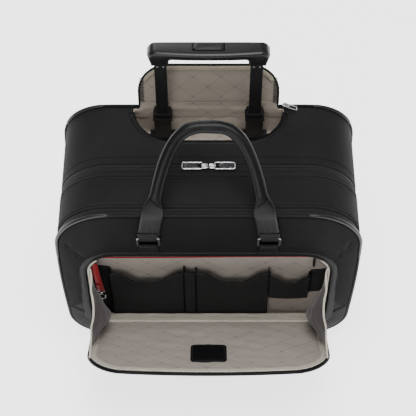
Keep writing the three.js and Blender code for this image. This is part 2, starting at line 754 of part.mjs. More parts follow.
function buildZipPulls() {
  const plateLength = 30;
  const plateWidth = 12;
  const sliderZ = caseTop + 2 * gap;
  for (const [name, side] of sides) {
    const along = (from, to) => [Math.min(side * from, side * to), Math.max(side * from, side * to)];
    const [bodyLow, bodyHigh] = along(0.5, 0.5 + sliderLength);
    const [plateLow, plateHigh] = along(8, 8 + plateLength);
    part(`main_slider_${name}`, join(
      block(bodyLow, mainZipY - sliderWidth / 2, sliderZ, bodyHigh, mainZipY + sliderWidth / 2,
        sliderZ + sliderHeight),
      block(plateLow, mainZipY - plateWidth / 2, sliderZ + 1.2, plateHigh, mainZipY + plateWidth / 2,
        sliderZ + 1.2 + pullThickness),
    ), brightMetal, flightCase);
  }

  // Side pulls of the front zip: name, side, slider height, length of the pull.
  const sidePulls = [
    ['side_pull_left', -1, caseTop - 77, 38],
    ['side_pull_right_upper', 1, caseTop - 105, 14],
    ['side_pull_right_lower', 1, caseTop - 129, 14],
  ];
  const bodyHalf = 4;
  for (const [name, side, z, length] of sidePulls) {
    const face = caseHalfWidth + gap;
    const body = [side * face, side * (face + sliderHeight)];
    const plate = [side * (face + 2.5), side * (face + 2.5 + pullThickness)];
    part(name, join(
      block(Math.min(...body), frontZipY - bodyHalf, z - bodyHalf, Math.max(...body),
        frontZipY + bodyHalf, z + bodyHalf),
      block(Math.min(...plate), frontZipY - 3, z - bodyHalf - length + 2, Math.max(...plate),
        frontZipY + 3, z),
    ), brightMetal, flightCase);
  }
}

buildRearSection();
buildWell();
buildTrolley();
buildRunningGear();
buildMidSection();
buildFrontSection();
buildCarryHandle();
buildZipPulls();

// The origin is the middle of the footprint, on the ground.
const bounds = new THREE.Box3().setFromObject(flightCase);
const centre = bounds.getCenter(new THREE.Vector3());
flightCase.position.set(-centre.x, -centre.y, 0);

export default flightCase;
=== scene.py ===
"""Looks of the pilot rolling flight case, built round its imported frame."""
import json
import math

import bmesh
import bpy
import numpy as np
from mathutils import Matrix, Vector


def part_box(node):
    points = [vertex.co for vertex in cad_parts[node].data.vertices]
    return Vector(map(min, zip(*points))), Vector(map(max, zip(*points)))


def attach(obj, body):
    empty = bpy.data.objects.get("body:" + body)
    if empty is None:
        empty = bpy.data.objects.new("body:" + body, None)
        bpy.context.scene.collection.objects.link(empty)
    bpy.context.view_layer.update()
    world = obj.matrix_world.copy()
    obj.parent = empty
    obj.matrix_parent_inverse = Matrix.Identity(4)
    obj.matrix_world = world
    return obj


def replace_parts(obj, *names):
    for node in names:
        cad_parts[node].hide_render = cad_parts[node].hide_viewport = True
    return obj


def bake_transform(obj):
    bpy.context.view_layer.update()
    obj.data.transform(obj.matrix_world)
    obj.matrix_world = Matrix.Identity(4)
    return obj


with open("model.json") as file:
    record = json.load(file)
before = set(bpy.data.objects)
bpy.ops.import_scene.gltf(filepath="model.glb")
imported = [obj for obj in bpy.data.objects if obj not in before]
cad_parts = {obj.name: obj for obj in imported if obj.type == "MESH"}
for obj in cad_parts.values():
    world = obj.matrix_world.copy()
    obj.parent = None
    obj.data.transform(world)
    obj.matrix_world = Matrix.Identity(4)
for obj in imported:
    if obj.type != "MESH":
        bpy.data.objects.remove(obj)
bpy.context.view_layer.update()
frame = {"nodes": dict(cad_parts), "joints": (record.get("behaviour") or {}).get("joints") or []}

# ---- Sizes, in metres, from the frame -------------------------------------------------------------
# X runs to the right, Y to the back and Z up. Depths below are from the middle of the case's depth.

mm = 0.001
CASE_LOW, CASE_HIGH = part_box("front_panel")
HALF = CASE_HIGH[0]                       # half the shell's width
BASE, TOP = CASE_LOW[2], CASE_HIGH[2]
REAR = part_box("rear_shell")[1][1]
MID_Y = (CASE_LOW[1] + REAR) / 2          # the middle of the case's depth in the frame
FACE = CASE_LOW[1] - MID_Y                # the front face, as a depth
BACK = REAR - MID_Y
TOP_R = 68 * mm
LOW_R = 60 * mm
MAIN_ZIP = (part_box("main_zip_rear_half")[0][1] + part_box("main_zip_front_half")[1][1]) / 2 - MID_Y
FRONT_ZIP = (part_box("front_zip_rear_half")[0][1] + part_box("front_zip_front_half")[1][1]) / 2 - MID_Y
TUB_LOW, TUB_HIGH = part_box("pocket_tub")
OPEN_HALF = TUB_HIGH[0] - 6 * mm
OPEN_LOW, OPEN_HIGH = TUB_LOW[2] + 26 * mm, TUB_HIGH[2] - 6 * mm
OPEN_R = 45 * mm
OPEN_LOW_R = 15 * mm
TUB_BACK = TUB_HIGH[1] - MID_Y - 2 * mm   # the lining's inner face at the back of the pocket
WELL_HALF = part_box("well_lining")[1][0] - 2.2 * mm
WELL_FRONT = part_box("well_lining")[0][1] + 2.2 * mm - MID_Y
WELL_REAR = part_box("well_lining")[1][1] - 2.2 * mm - MID_Y
WELL_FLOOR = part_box("well_lining")[0][2] + 2.2 * mm
WELL_R = 60 * mm
JOINTS = {joint["name"]: joint for joint in frame["joints"]}
FLAP_HINGE = Vector(JOINTS["pocket_flap_hinge"]["pos_m"])
FLAP_OPEN = math.radians(56)
FLAP_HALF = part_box("pocket_flap_panel")[1][0]
FLAP_LENGTH = 180 * mm
FLAP_R = 45 * mm
WELL_HINGE = Vector(JOINTS["well_flap_hinge"]["pos_m"])
WELL_LEAN = math.radians(16)

# ---- Camera and light -----------------------------------------------------------------------------

FRAME_SIDE = 416
CAMERA_PITCH = math.radians(54.95)        # below the horizon
CAMERA_BACK = 1.0821                      # in front of the middle of the case's depth
CAMERA_HEIGHT = 1.7672
FOCAL_LENGTH = 1254.94


def make_camera():
    """A long lens that looks down on the case from in front."""
    data = bpy.data.cameras.new("camera")
    data.sensor_width = 36
    data.lens = FOCAL_LENGTH / FRAME_SIDE * data.sensor_width
    data.shift_x = -0.6 / FRAME_SIDE
    data.clip_start, data.clip_end = 0.05, 50
    camera = bpy.data.objects.new("camera", data)
    camera.location = (0, MID_Y - CAMERA_BACK, CAMERA_HEIGHT)
    camera.rotation_euler = (math.pi / 2 - CAMERA_PITCH, 0, 0)
    bpy.context.scene.collection.objects.link(camera)
    bpy.context.scene.camera = camera


def area_light(name, place, target, size, power):
    """A square soft box at place, aimed at target."""
    data = bpy.data.lights.new(name, "AREA")
    data.shape = "SQUARE"
    data.size = size
    data.energy = power
    light = bpy.data.objects.new(name, data)
    light.location = place
    aim = Vector(target) - Vector(place)
    light.rotation_euler = aim.to_track_quat("-Z", "Y").to_euler()
    bpy.context.scene.collection.objects.link(light)


def make_studio():
    """Soft boxes above, in front and behind, on a pale floor under a white sky."""
    middle = (0, MID_Y, 0.25)
    area_light("top_box", (0.1, -0.25, 2.4), middle, 1.1, 48)
    area_light("front_box", (-0.7, -2.0, 1.5), middle, 1.2, 24)
    area_light("right_box", (2.0, -0.2, 1.7), middle, 0.9, 6)
    area_light("back_box", (-0.6, 2.2, 1.9), middle, 1.2, 22)
    world = bpy.data.worlds.new("studio")
    world.use_nodes = True
    background = world.node_tree.nodes["Background"]
    background.inputs["Color"].default_value = (1, 1, 1, 1)
    background.inputs["Strength"].default_value = 0.45
    bpy.context.scene.world = world

# ---- Shader kit -----------------------------------------------------------------------------------


class Value:
    """A socket's value: Python operators on it add Math nodes."""

    def __init__(self, shader, socket):
        self.shader, self.socket = shader, socket

    def math(self, operation, *others):
        return self.shader.add("Math", {"operation": operation}, dict(enumerate((self, *others))))

    def __add__(self, other): return self.math("ADD", other)
    def __radd__(self, other): return self.math("ADD", other)
    def __mul__(self, other): return self.math("MULTIPLY", other)
    def __rmul__(self, other): return self.math("MULTIPLY", other)
    def __sub__(self, other): return self.math("SUBTRACT", other)
    def __rsub__(self, other): return self.shader.add("Math", {"operation": "SUBTRACT"}, {0: other, 1: self})
    def __truediv__(self, other): return self.math("DIVIDE", other)
    def __pow__(self, other): return self.math("POWER", other)

    def fract(self): return self.math("FRACT")
    def size(self): return self.math("ABSOLUTE")
    def sine(self): return self.math("SINE")
    def most(self, other): return self.math("MAXIMUM", other)
    def least(self, other): return self.math("MINIMUM", other)

    def smooth(self, low, high):
        """0 below low, 1 above high, eased between."""
        return self.shader.add(
            "MapRange", {"interpolation_type": "SMOOTHSTEP"},
            {"Value": self, "From Min": low, "From Max": high})


class Shader:
    """A material being made, with its Principled BSDF."""

    def __init__(self, name, roughness=0.5, metallic=0.0, specular=0.5, coat=0.0, sheen=0.0):
        self.material = bpy.data.materials.new(name)
        self.material.use_nodes = True
        self.tree = self.material.node_tree
        self.bsdf = self.tree.nodes["Principled BSDF"]
        self.set("Roughness", roughness)
        self.set("Metallic", metallic)
        self.set("Specular IOR Level", specular)
        self.set("Coat Weight", coat)
        self.set("Sheen Weight", sheen)

    def set(self, socket, value):
        """Puts a plain value, or a link, on one of the shader's own sockets."""
        self._feed(self.bsdf.inputs[socket], value)

    def _feed(self, target, value):
        if isinstance(value, Value):
            self.tree.links.new(value.socket, target)
        elif isinstance(value, (tuple, list)) and len(value) == 3 and target.type == "RGBA":
            target.default_value = (*value, 1)
        else:
            target.default_value = value

    def add(self, kind, settings=None, inputs=None, out=0):
        """Any node: its settings first, then the values or links of its sockets."""
        node = self.tree.nodes.new("ShaderNode" + kind)
        for key, value in (settings or {}).items():
            setattr(node, key, value)
        for key, value in (inputs or {}).items():
            self._feed(node.inputs[key], value)
        return Value(self, node.outputs[out])

    def place(self):
        return self.add("TexCoord", out="Object")

    def surface(self):
        return self.add("UVMap", {"uv_map": "metres"})

    def split(self, vector):
        return [self.add("SeparateXYZ", None, {0: vector}, out) for out in range(3)]

    def noise(self, scale, detail=3.0, vector=None, rough=0.5):
        return self.add("TexNoise", None, {
            "Vector": vector or self.place(), "Scale": scale, "Detail": detail, "Roughness": rough})

    def cells(self, scale, feature="F1", vector=None):
        return self.add("TexVoronoi", {"feature": feature}, {
            "Vector": vector or self.place(), "Scale": scale})

    def attribute(self, name):
        return self.add("Attribute", {"attribute_name": name}, out="Fac")

    def blend(self, share, low, high):
        """The colour low where share is 0 and high where it is 1."""
        node = self.tree.nodes.new("ShaderNodeMix")
        node.data_type = "RGBA"
        for key, value in ((0, share), (6, low), (7, high)):
            self._feed(node.inputs[key], value)
        return Value(self, node.outputs[2])

    def bump(self, height, distance, strength=1.0):
        self.set("Normal", self.add("Bump", None, {
            "Height": height, "Distance": distance, "Strength": strength}))


def linear(r, g, b):
    """A colour given as 0 to 255 display values, as linear light."""
    return tuple(((c / 255 + 0.055) / 1.055) ** 2.4 if c > 10 else c / 255 / 12.92 for c in (r, g, b))


def cloth_material(name, dark, light, roughness=0.72, weave=1.1 * mm):
    """Tight ballistic weave: crossing threads as a bump, with slow mottling."""
    shader = Shader(name, specular=0.06)
    u, v, _ = shader.split(shader.surface())
    turn = 2 * math.pi / weave
    threads = (u * turn).sine() * (v * turn).sine()
    mottle = shader.noise(14, 4)
    fine = shader.noise(900, 2)
    edge = shader.attribute("smooth_patch")
    share = (mottle * 0.7 + fine * 0.5 + threads * 0.10 - 0.15 + edge * 0.35).least(1.0).most(0.0)
    shader.set("Base Color", shader.blend(share, linear(*dark), linear(*light)))
    shader.set("Roughness", roughness - fine * 0.12 - edge * 0.18)
    shader.bump((threads * 0.5 + fine * 0.8) * (1 - edge * 0.8), 0.22 * mm, 0.8)
    return shader.material


def leather_material(name, dark, light, roughness=0.5, grain=520, coat=0.0):
    """Fine pebbled grain: cell edges and noise, with smoother, lighter rubbed areas."""
    shader = Shader(name, specular=0.12, coat=coat)
    shader.set("Coat Roughness", 0.35)
    pebbles = shader.cells(grain, "DISTANCE_TO_EDGE")
    grooves = pebbles.smooth(0.0, 0.22)
    rub = shader.noise(24, 4)
    fine = shader.noise(1600, 2)
    shader.set("Base Color", shader.blend((rub * 0.8 + grooves * 0.25).least(1.0), linear(*dark),
                                          linear(*light)))
    shader.set("Roughness", roughness + rub * 0.16 - grooves * 0.08)
    shader.bump(grooves * 0.6 + fine * 0.3 + rub * 0.8, 0.16 * mm, 0.7)
    return shader.material


def lining_material(name, ground, line, cell=(44 * mm, 33 * mm), bold=1.0, flat=False):
    """Smooth lining with a lattice of fine pressed lines, small rings where they cross, and soft creases."""
    shader = Shader(name, roughness=0.62, specular=0.3, sheen=0.15)
    x, y, z = shader.split(shader.place())
    u, v = (x + y, z) if flat else shader.split(shader.surface())[:2]
    sway = shader.noise(7, 1)
    across, up = (u + sway * 5 * mm) / cell[0], (v + sway * 4 * mm) / cell[1]
    reach = [0.5 - ((across + up * side).fract() - 0.5).size() for side in (1, -1)]
    lines = [1 - r.smooth(0.005, 0.017) for r in reach]
    broken = shader.noise(22, 1).smooth(0.36, 0.46)
    crossing = (reach[0] * reach[0] + reach[1] * reach[1]) ** 0.5
    ring = 1 - (crossing - 0.055).size().smooth(0.008, 0.024)
    mask = ((lines[0].most(lines[1])) * broken).most(ring * 0.9) * bold
    crease = shader.noise(16, 4, rough=0.5)
    threads = shader.noise(1500, 2)
    # Painted shade: the ground is 2% darker where the crease bump is low.
    crease_shaded_ground = shader.blend(crease.smooth(0.25, 0.8), linear(*[c * 0.98 for c in ground]), linear(*ground))
    shader.set("Base Color", shader.blend(mask * 0.8, crease_shaded_ground, linear(*line)))
    shader.set("Roughness", 0.55 + threads * 0.2 + mask * 0.1)
    shader.bump(crease * 1.2 + threads * 0.05 - mask * 0.16, 0.9 * mm, 0.3)
    return shader.material


def tape_material(name, dark, light, rib=0.9 * mm, roughness=0.78):
    """Woven tape: fine ribs across its run."""
    shader = Shader(name, specular=0.3, sheen=0.1)
    u, v, _ = shader.split(shader.surface())
    turn = 2 * math.pi / rib
    ribs = (u * turn).sine() * 0.5 + (v * turn * 0.5).sine() * 0.5
    worn = shader.noise(60, 3)
    shader.set("Base Color", shader.blend((ribs * 0.25 + worn * 0.8).least(1.0).most(0.0), linear(*dark),
                                          linear(*light)))
    shader.set("Roughness", roughness - worn * 0.1)
    shader.bump(ribs, 0.15 * mm, 0.7)
    return shader.material


def plastic_material(name, dark, light, roughness=0.35, texture=900, depth=0.05 * mm, coat=0.0):
    """Moulded plastic: a fine spark-eroded texture and slow gloss variation."""
    shader = Shader(name, specular=0.34, coat=coat)
    shader.set("Coat Roughness", 0.12)
    fine = shader.noise(texture, 2)
    slow = shader.noise(18, 3)
    shader.set("Base Color", shader.blend(slow, linear(*dark), linear(*light)))
    shader.set("Roughness", roughness + slow * 0.10 + fine * 0.06)
    shader.bump(fine, depth, 0.6)
    return shader.material


def metal_material(name, colour, roughness=0.22, brushed=0.0):
    """Plated metal with faint polishing marks and duller patches."""
    shader = Shader(name, metallic=1.0)
    x, y, z = shader.split(shader.place())
    marks = shader.noise(1.0, 2, shader.add("CombineXYZ", None, {0: x * 90, 1: y * 2200, 2: z * 2200}))
    dull = shader.noise(70, 3)
    tint = linear(*colour)
    shader.set("Base Color", shader.blend(dull, tuple(c * 0.8 for c in tint), tint))
    shader.set("Roughness", roughness + dull * 0.12 + marks * brushed)
    shader.bump(marks, 0.02 * mm, 0.4 + brushed)
    return shader.material


def rubber_material(name):
    """Matt rubber with moulding grain and paler scuffs."""
    shader = Shader(name, specular=0.3)
    scuff = shader.noise(40, 5, rough=0.7)
    fine = shader.noise(1200, 2)
    shader.set("Base Color", shader.blend(scuff.smooth(0.45, 0.8), linear(26, 26, 26), linear(52, 51, 50)))
    shader.set("Roughness", 0.7 + fine * 0.15)
    shader.bump(fine + scuff, 0.12 * mm, 0.6)
    return shader.material


def floor_material():
    """A seamless white sweep that glows a little, so that it stays pale under the object's shadow."""
    shader = Shader("white_sweep", roughness=0.8, specular=0.1)
    grain = shader.noise(60, 2)
    shader.set("Base Color", shader.blend(grain, linear(240, 240, 240), linear(246, 246, 246)))
    shader.set("Emission Color", (1, 1, 1))
    shader.set("Emission Strength", 2.2)
    return shader.material


MATERIAL = {
    "cloth": cloth_material("ballistic_cloth", (20, 20, 21), (37, 37, 38)),
    # A darker copy of the ballistic cloth for the front face: painted shade, the front being lit less than the
    # top.
    "shaded_front_cloth": cloth_material("shaded_front_cloth", (12, 12, 13), (23, 23, 24)),
    "leather": leather_material("black_leather", (10, 10, 11), (20, 20, 21), 0.42),
    "handle_leather": leather_material("handle_leather", (4, 4, 5), (9, 9, 10), 0.27, 620, 0.12),
    "pocket_leather": leather_material("pocket_leather", (23, 23, 24), (39, 39, 40), 0.6, 700),
    "smooth_leather": leather_material("smooth_leather", (7, 7, 8), (15, 15, 16), 0.42, 380, 0.0),
    "edge_leather": leather_material("edge_leather", (20, 20, 21), (34, 34, 35), 0.4, 600, 0.0),
    "lining": lining_material("beige_lining", (150, 141, 133), (96, 90, 86)),
    # A brighter copy of the beige lining for the well: painted light that lifts the shade falling deep in the
    # well.
    "lit_deep_lining": lining_material("well_lining", (164, 154, 143), (108, 101, 94), (40 * mm, 34 * mm), 0.8),
    # A darker copy of the beige lining for the well's flap and the cloth over its hinge: painted shade.
    "shaded_back_lining": lining_material("well_flap_lining", (128, 119, 109), (86, 80, 74), (40 * mm, 34 * mm),
                                   0.8),
    # A dark copy of the beige lining for the gussets folded into the pocket: painted shade in the fold.
    "gusset": lining_material("gusset_lining", (64, 58, 59), (46, 42, 44), (44 * mm, 33 * mm), 0.4),
    "beige_tape": tape_material("beige_tape", (168, 162, 148), (194, 188, 174)),
    "dull_tape": tape_material("dull_tape", (116, 109, 94), (142, 134, 117)),
    "black_tape": tape_material("black_tape", (8, 8, 9), (18, 18, 19)),
    "teeth": plastic_material("zip_teeth", (16, 16, 17), (30, 30, 31), 0.4),
    "gloss": plastic_material("gloss_trim", (9, 9, 10), (16, 16, 17), 0.3, 500, 0.01 * mm, 0.08),
    "grip": plastic_material("satin_grip", (7, 7, 8), (14, 14, 15), 0.27, 1400, 0.02 * mm),
    "plastic": plastic_material("moulded_plastic", (16, 16, 17), (28, 28, 29), 0.48),
    "tube": plastic_material("anodised_tube", (10, 10, 11), (18, 18, 19), 0.3, 1800, 0.01 * mm),
    "nickel": metal_material("bright_nickel", (214, 214, 216), 0.2),
    "dark_metal": metal_material("dark_nickel", (122, 122, 126), 0.24),
    "rubber": rubber_material("wheel_rubber"),
    "red": tape_material("red_webbing", (128, 6, 16), (176, 12, 26), 1.6 * mm, 0.55),
    "black_thread": tape_material("black_thread", (18, 18, 19), (40, 40, 41), 0.7 * mm, 0.6),
    "pale_thread": tape_material("pale_thread", (150, 144, 132), (178, 172, 160), 0.7 * mm, 0.7),
    "board": plastic_material("fibreboard", (60, 55, 50), (84, 78, 70), 0.8),
    "floor": floor_material(),
    "inner_lining": lining_material("inner_lining", (150, 141, 133), (96, 90, 86), flat=True),
}

# ---- Mesh kit -------------------------------------------------------------------------------------


def build(name, points, faces, material, body, slot, uv=None, smooth=True, local=True):
    """A mesh object from vertex and face arrays, riding on a body. Points are in the case's own depth."""
    points = np.asarray(points, float).reshape(-1, 3).copy()
    if local:
        points[:, 1] += MID_Y
    mesh = bpy.data.meshes.new(name)
    mesh.from_pydata(points.tolist(), [], [list(map(int, face)) for face in faces])
    mesh.update()
    if uv is not None:
        layer = mesh.uv_layers.new(name="metres")
        corner = np.empty(len(mesh.loops), int)
        mesh.loops.foreach_get("vertex_index", corner)
        layer.data.foreach_set("uv", np.asarray(uv, float).reshape(-1, 2)[corner].ravel())
    mesh.polygons.foreach_set("use_smooth", np.full(len(mesh.polygons), smooth))
    mesh.materials.append(MATERIAL[material])
    piece = bpy.data.objects.new(name, mesh)
    bpy.context.scene.collection.objects.link(piece)
    if body:
        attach(piece, body)
    return piece


def grid_faces(rows, columns, wrap_rows=False, wrap_columns=False, offset=0):
    """Quads of a grid of points, row by row, joined round where asked."""
    i = np.arange(rows if wrap_rows else rows - 1)[:, None]
    j = np.arange(columns if wrap_columns else columns - 1)[None, :]
    a, b = i * columns, (i + 1) % rows * columns
    k = (j + 1) % columns
    return (np.stack([a + j, a + k, b + k, b + j], -1).reshape(-1, 4) + offset).tolist()


def grid(name, points, material, body, slot, wrap_rows=False, wrap_columns=False, caps=False, uv=None):
    """A surface from a (rows, columns, 3) array. Caps close the first and last row with one face each."""
    rows, columns = points.shape[:2]
    faces = grid_faces(rows, columns, wrap_rows, wrap_columns)
    if caps:
        faces.append(list(range(columns))[::-1])
        faces.append(list(range((rows - 1) * columns, rows * columns)))
    if uv is None:
        uv = running_uv(points)
    return build(name, points, faces, material, body, slot, uv)


def running_uv(points):
    """Distance along the rows and along the columns, so that a pattern keeps its size on the surface."""
    down = np.linalg.norm(np.diff(points, axis=0), axis=2).mean(1)
    across = np.linalg.norm(np.diff(points, axis=1), axis=2).mean(0)
    u = np.concatenate([[0], np.cumsum(across)])
    v = np.concatenate([[0], np.cumsum(down)])
    return np.stack(np.meshgrid(u, v), -1)


def thicken(piece, thickness, offset=-1.0):
    """Gives a sheet its thickness, inwards from its face."""
    solidify = piece.modifiers.new("thickness", "SOLIDIFY")
    solidify.thickness = thickness
    solidify.offset = offset
    return piece


def subdivide(piece, levels=1):
    """Rounds a piece off."""
    surface = piece.modifiers.new("rounding", "SUBSURF")
    surface.levels = surface.render_levels = levels
    return piece


def unit(vectors):
    """Each vector at a length of 1; a vector of no length stays as it is."""
    return vectors / np.maximum(np.linalg.norm(vectors, axis=-1, keepdims=True), 1e-12)


def rounded_loop(x0, z0, x1, z1, low_r, high_r, arc=16, straight=24):
    """A rounded rectangle's points, outward normals and share along each straight, clockwise from the
    middle of its lower edge: half of the lower edge, then left side, top, right side and back."""
    corners = [(x0 + low_r, z0 + low_r, low_r, 270, 180), (x0 + high_r, z1 - high_r, high_r, 180, 90),
               (x1 - high_r, z1 - high_r, high_r, 90, 0), (x1 - low_r, z0 + low_r, low_r, 0, -90)]
    points, normals, bulges = [], [], []

    def line(start, end, normal, first=-1.0, last=1.0):
        share = np.linspace(0, 1, straight + 2)[1:-1, None]
        points.append(np.array(start) * (1 - share) + np.array(end) * share)
        normals.append(np.repeat([normal], straight, 0))
        bulges.append(1 - (first + (last - first) * share[:, 0]) ** 2)

    middle = ((x0 + x1) / 2, z0)
    line(middle, (x0 + low_r, z0), (0, -1), 0, 1)
    for index, (cx, cz, radius, start, end) in enumerate(corners):
        angle = np.radians(np.linspace(start, end, arc))
        normal = np.stack([np.cos(angle), np.sin(angle)], 1)
        points.append(np.array([cx, cz]) + radius * normal)
        normals.append(normal)
        bulges.append(np.zeros(arc))
        if index < 3:
            nx, nz, nr, nstart, _ = corners[index + 1]
            direction = np.array([math.cos(math.radians(nstart)), math.sin(math.radians(nstart))])
            line(points[-1][-1], np.array([nx, nz]) + nr * direction, normal[-1])
    line((x1 - low_r, z0), middle, (0, -1), -1, 0)
    return np.concatenate(points), np.concatenate(normals), np.concatenate(bulges)


SIDE_SWELL = 7.5 * mm


def side_swell(z):
    """How far the cloth of the sides stands out at a height: a lopsided arch, fullest below the middle."""
    share = np.clip((z - BASE) / (TOP - BASE), 0, 1)
    return SIDE_SWELL * np.sin(np.pi * share ** 1.25).clip(0) ** 0.7


def case_loop(inset=0.0, **steps):
    """The case's outline: a rounded rectangle whose sides swell outwards."""
    points, normals, bulges = rounded_loop(-HALF + inset, BASE + inset, HALF - inset, TOP - inset,
                                           LOW_R - inset, TOP_R - inset, **steps)
    share = points[:, 0] / (HALF - inset)
    points = points + np.stack([share ** 3 * side_swell(points[:, 1]), 0 * share], 1)
    return points, normals, bulges


def corner_push(normals, amount=3.5 * mm):
    """The rear outline is squarer: its upper corners stand out most at 45 degrees."""
    return amount * (2 * np.abs(normals[:, 0] * normals[:, 1])) ** 2 * (normals[:, 1] > 0)


def above(loop, height):
    """The part of a loop that stands above a height: up one side, over the top and down the other."""
    keep = loop[0][:, 1] > height
    return tuple(part[keep] for part in loop)


def band(name, loop, section, material, body, slot, dome=0.0, closed=False):
    """A loop's points carried through a closed section of (depth, offset) pairs. The offset is outwards,
    and dome adds to it in the middle of each straight, in step with the section's third value."""
    points, normals, bulges = loop
    section = np.asarray(section, float)
    if section.shape[1] == 2:
        section = np.column_stack([section, np.ones(len(section))])
    reach = section[None, :, 1] + dome * bulges[:, None] * section[None, :, 2]
    place = points[:, None, :] + normals[:, None, :] * reach[..., None]
    depth = np.broadcast_to(section[None, :, 0], reach.shape)
    surface = np.stack([place[..., 0], depth, place[..., 1]], -1)
    return grid(name, surface, material, body, slot, wrap_rows=closed, wrap_columns=True,
                caps=not closed)


def tube(name, path, radius, material, body, slot, closed=False, sides=12, squash=1.0):
    """A round section carried along a path, its first axis kept as level as the path allows."""
    path = np.asarray(path, float)
    ahead = np.roll(path, -1, 0) - np.roll(path, 1, 0) if closed else np.gradient(path, axis=0)
    ahead = unit(ahead)
    side = unit(np.cross(ahead, transported(ahead, closed)))
    out = np.cross(side, ahead)
    turn = np.linspace(0, 2 * math.pi, sides, endpoint=False)
    radius = np.broadcast_to(np.asarray(radius, float), len(path))[:, None, None]
    ring = (side[:, None, :] * np.cos(turn)[None, :, None]
            + out[:, None, :] * np.sin(turn)[None, :, None] * squash)
    return grid(name, path[:, None, :] + radius * ring, material, body, slot, wrap_rows=closed,
                wrap_columns=True, caps=not closed)


def transported(ahead, closed=False):
    """A direction across the path at each point, turned as little as possible from one to the next."""
    start = np.eye(3)[np.argmin(np.abs(ahead[0]))]
    across = [unit(start - ahead[0] * (start @ ahead[0]))]
    for direction in ahead[1:]:
        last = across[-1]
        across.append(unit(last - direction * (last @ direction)))
    across = np.array(across)
    if closed:
        side = np.cross(ahead[0], across[0])
        twist = math.atan2(across[-1] @ side, across[-1] @ across[0])
        angle = -twist * np.linspace(0, 1, len(across))[:, None]
        across = across * np.cos(angle) + np.cross(ahead, across) * np.sin(angle)
    return across


def resample(path, spacing, closed=False):
    """Points along a path at a fixed spacing, with the path's direction at each."""
    path = np.asarray(path, float)
    if closed:
        path = np.vstack([path, path[:1]])
    length = np.concatenate([[0], np.cumsum(np.linalg.norm(np.diff(path, axis=0), axis=1))])
    count = max(int(length[-1] / spacing), 2)
    at = np.linspace(0, length[-1], count, endpoint=not closed)
    points = np.stack([np.interp(at, length, path[:, k]) for k in range(3)], 1)
    ahead = unit(np.gradient(points, axis=0))
    return points, ahead


def scatter(name, template, faces, points, ahead, up, material, body, slot):
    """Copies of a small template, its X laid along ahead and its Z along up, at each point."""
    up = np.broadcast_to(np.asarray(up, float), ahead.shape)
    side = unit(np.cross(up, ahead))
    top = np.cross(ahead, side)
    template = np.asarray(template, float)
    copies = (points[:, None, :] + template[None, :, 0:1] * ahead[:, None, :]
              + template[None, :, 1:2] * side[:, None, :] + template[None, :, 2:3] * top[:, None, :])
    count, size = copies.shape[:2]
    every = (np.array(faces)[None] + (np.arange(count) * size)[:, None, None]).reshape(-1, len(faces[0]))
    uv = np.tile(template[:, :2], (count, 1))
    return build(name, copies, every, material, body, slot, uv)


# A bead with rounded ends: two square rings between flat ends, for stitches and zip teeth.
BEAD_FACES = [(0, 3, 2, 1), (0, 1, 5, 4), (1, 2, 6, 5), (2, 3, 7, 6), (3, 0, 4, 7),
              (4, 5, 9, 8), (5, 6, 10, 9), (6, 7, 11, 10), (7, 4, 8, 11), (8, 9, 13, 12),
              (9, 10, 14, 13), (10, 11, 15, 14), (11, 8, 12, 15), (12, 13, 14, 15)]


def bead(length, width, height):
    """The bead's points, lying along X on Z = 0, its ends drawn in."""
    rings = []
    for x, scale in ((-0.5, 0.45), (-0.3, 1), (0.3, 1), (0.5, 0.45)):
        for y, z in ((-0.5, -0.5), (0.5, -0.5), (0.5, 0.5), (-0.5, 0.5)):
            rings.append((x * length, y * width * scale, z * height * scale))
    return np.array(rings)


def stitch(name, path, up, material, body, slot, pitch=3.4 * mm, thread=0.7 * mm, closed=False):
    """A row of stitches along a path, lying on the surface that up points out of."""
    points, ahead = resample(path, pitch, closed)
    return scatter(name, bead(pitch * 0.68, thread, thread), BEAD_FACES, points, ahead, up, material, body,
                   slot)


# ---- Orientation, cutting and folding -------------------------------------------------------------


def outward(piece):
    """Turns a closed piece's faces to point outwards."""
    work = bmesh.new()
    work.from_mesh(piece.data)
    if work.calc_volume(signed=True) < 0:
        bmesh.ops.reverse_faces(work, faces=work.faces)
        work.to_mesh(piece.data)
    work.free()
    return piece


def settle(piece):
    """Replaces a piece's mesh by the result of its modifiers."""
    result = bpy.data.meshes.new_from_object(piece.evaluated_get(bpy.context.evaluated_depsgraph_get()))
    piece.modifiers.clear()
    piece.data = result
    return piece


def carve(piece, boxes, loops=()):
    """Cuts boxes, given by two corners each, and upright prisms, a loop with two heights each, from a piece."""
    for index, tool in enumerate([*boxes, *loops]):
        if len(tool) == 2:
            (x0, y0, z0), (x1, y1, z1) = tool
            loop, z0, z1 = np.array([(x0, y0), (x1, y0), (x1, y1), (x0, y1)]), z0, z1
        else:
            loop, z0, z1 = tool
        count = len(loop)
        rings = np.concatenate([np.column_stack([loop, np.full(count, z)]) for z in (z0, z1)])
        faces = grid_faces(2, count, wrap_columns=True)
        faces += [list(range(count))[::-1], list(range(count, 2 * count))]
        cutter = build(f"cutter_{index}", rings, faces, "plastic", None, None)
        outward(cutter)
        cut = piece.modifiers.new("cut", "BOOLEAN")
        cut.object, cut.operation, cut.solver = cutter, "DIFFERENCE", "EXACT"
        settle(piece)
        bpy.data.objects.remove(cutter)
    piece.data.set_sharp_from_angle(angle=math.radians(38))
    return piece


def mark(piece, name, values):
    """A value on each point, read by the material."""
    attribute = piece.data.attributes.new(name, "FLOAT", "POINT")
    attribute.data.foreach_set("value", np.asarray(values, np.float32).ravel())


def creases(x, y, seed, scale=1.0):
    """Soft wrinkles, from -1 to 1: a sum of slow waves in fixed random directions."""
    draw = np.random.default_rng(seed)
    total = np.zeros(np.broadcast(x, y).shape)
    for _ in range(9):
        angle, phase = draw.uniform(0, math.pi), draw.uniform(0, 2 * math.pi)
        wave = draw.uniform(60, 190) / scale
        total += np.sin((x * math.cos(angle) + y * math.sin(angle)) * wave + phase) * 0.32
    return np.tanh(total)


def smoothstep(low, high, x):
    """0 below low, 1 above high, and t * t * (3 - 2 * t) between them. High may be the smaller one."""
    t = np.clip((x - low) / (high - low), 0, 1)
    return t * t * (3 - 2 * t)


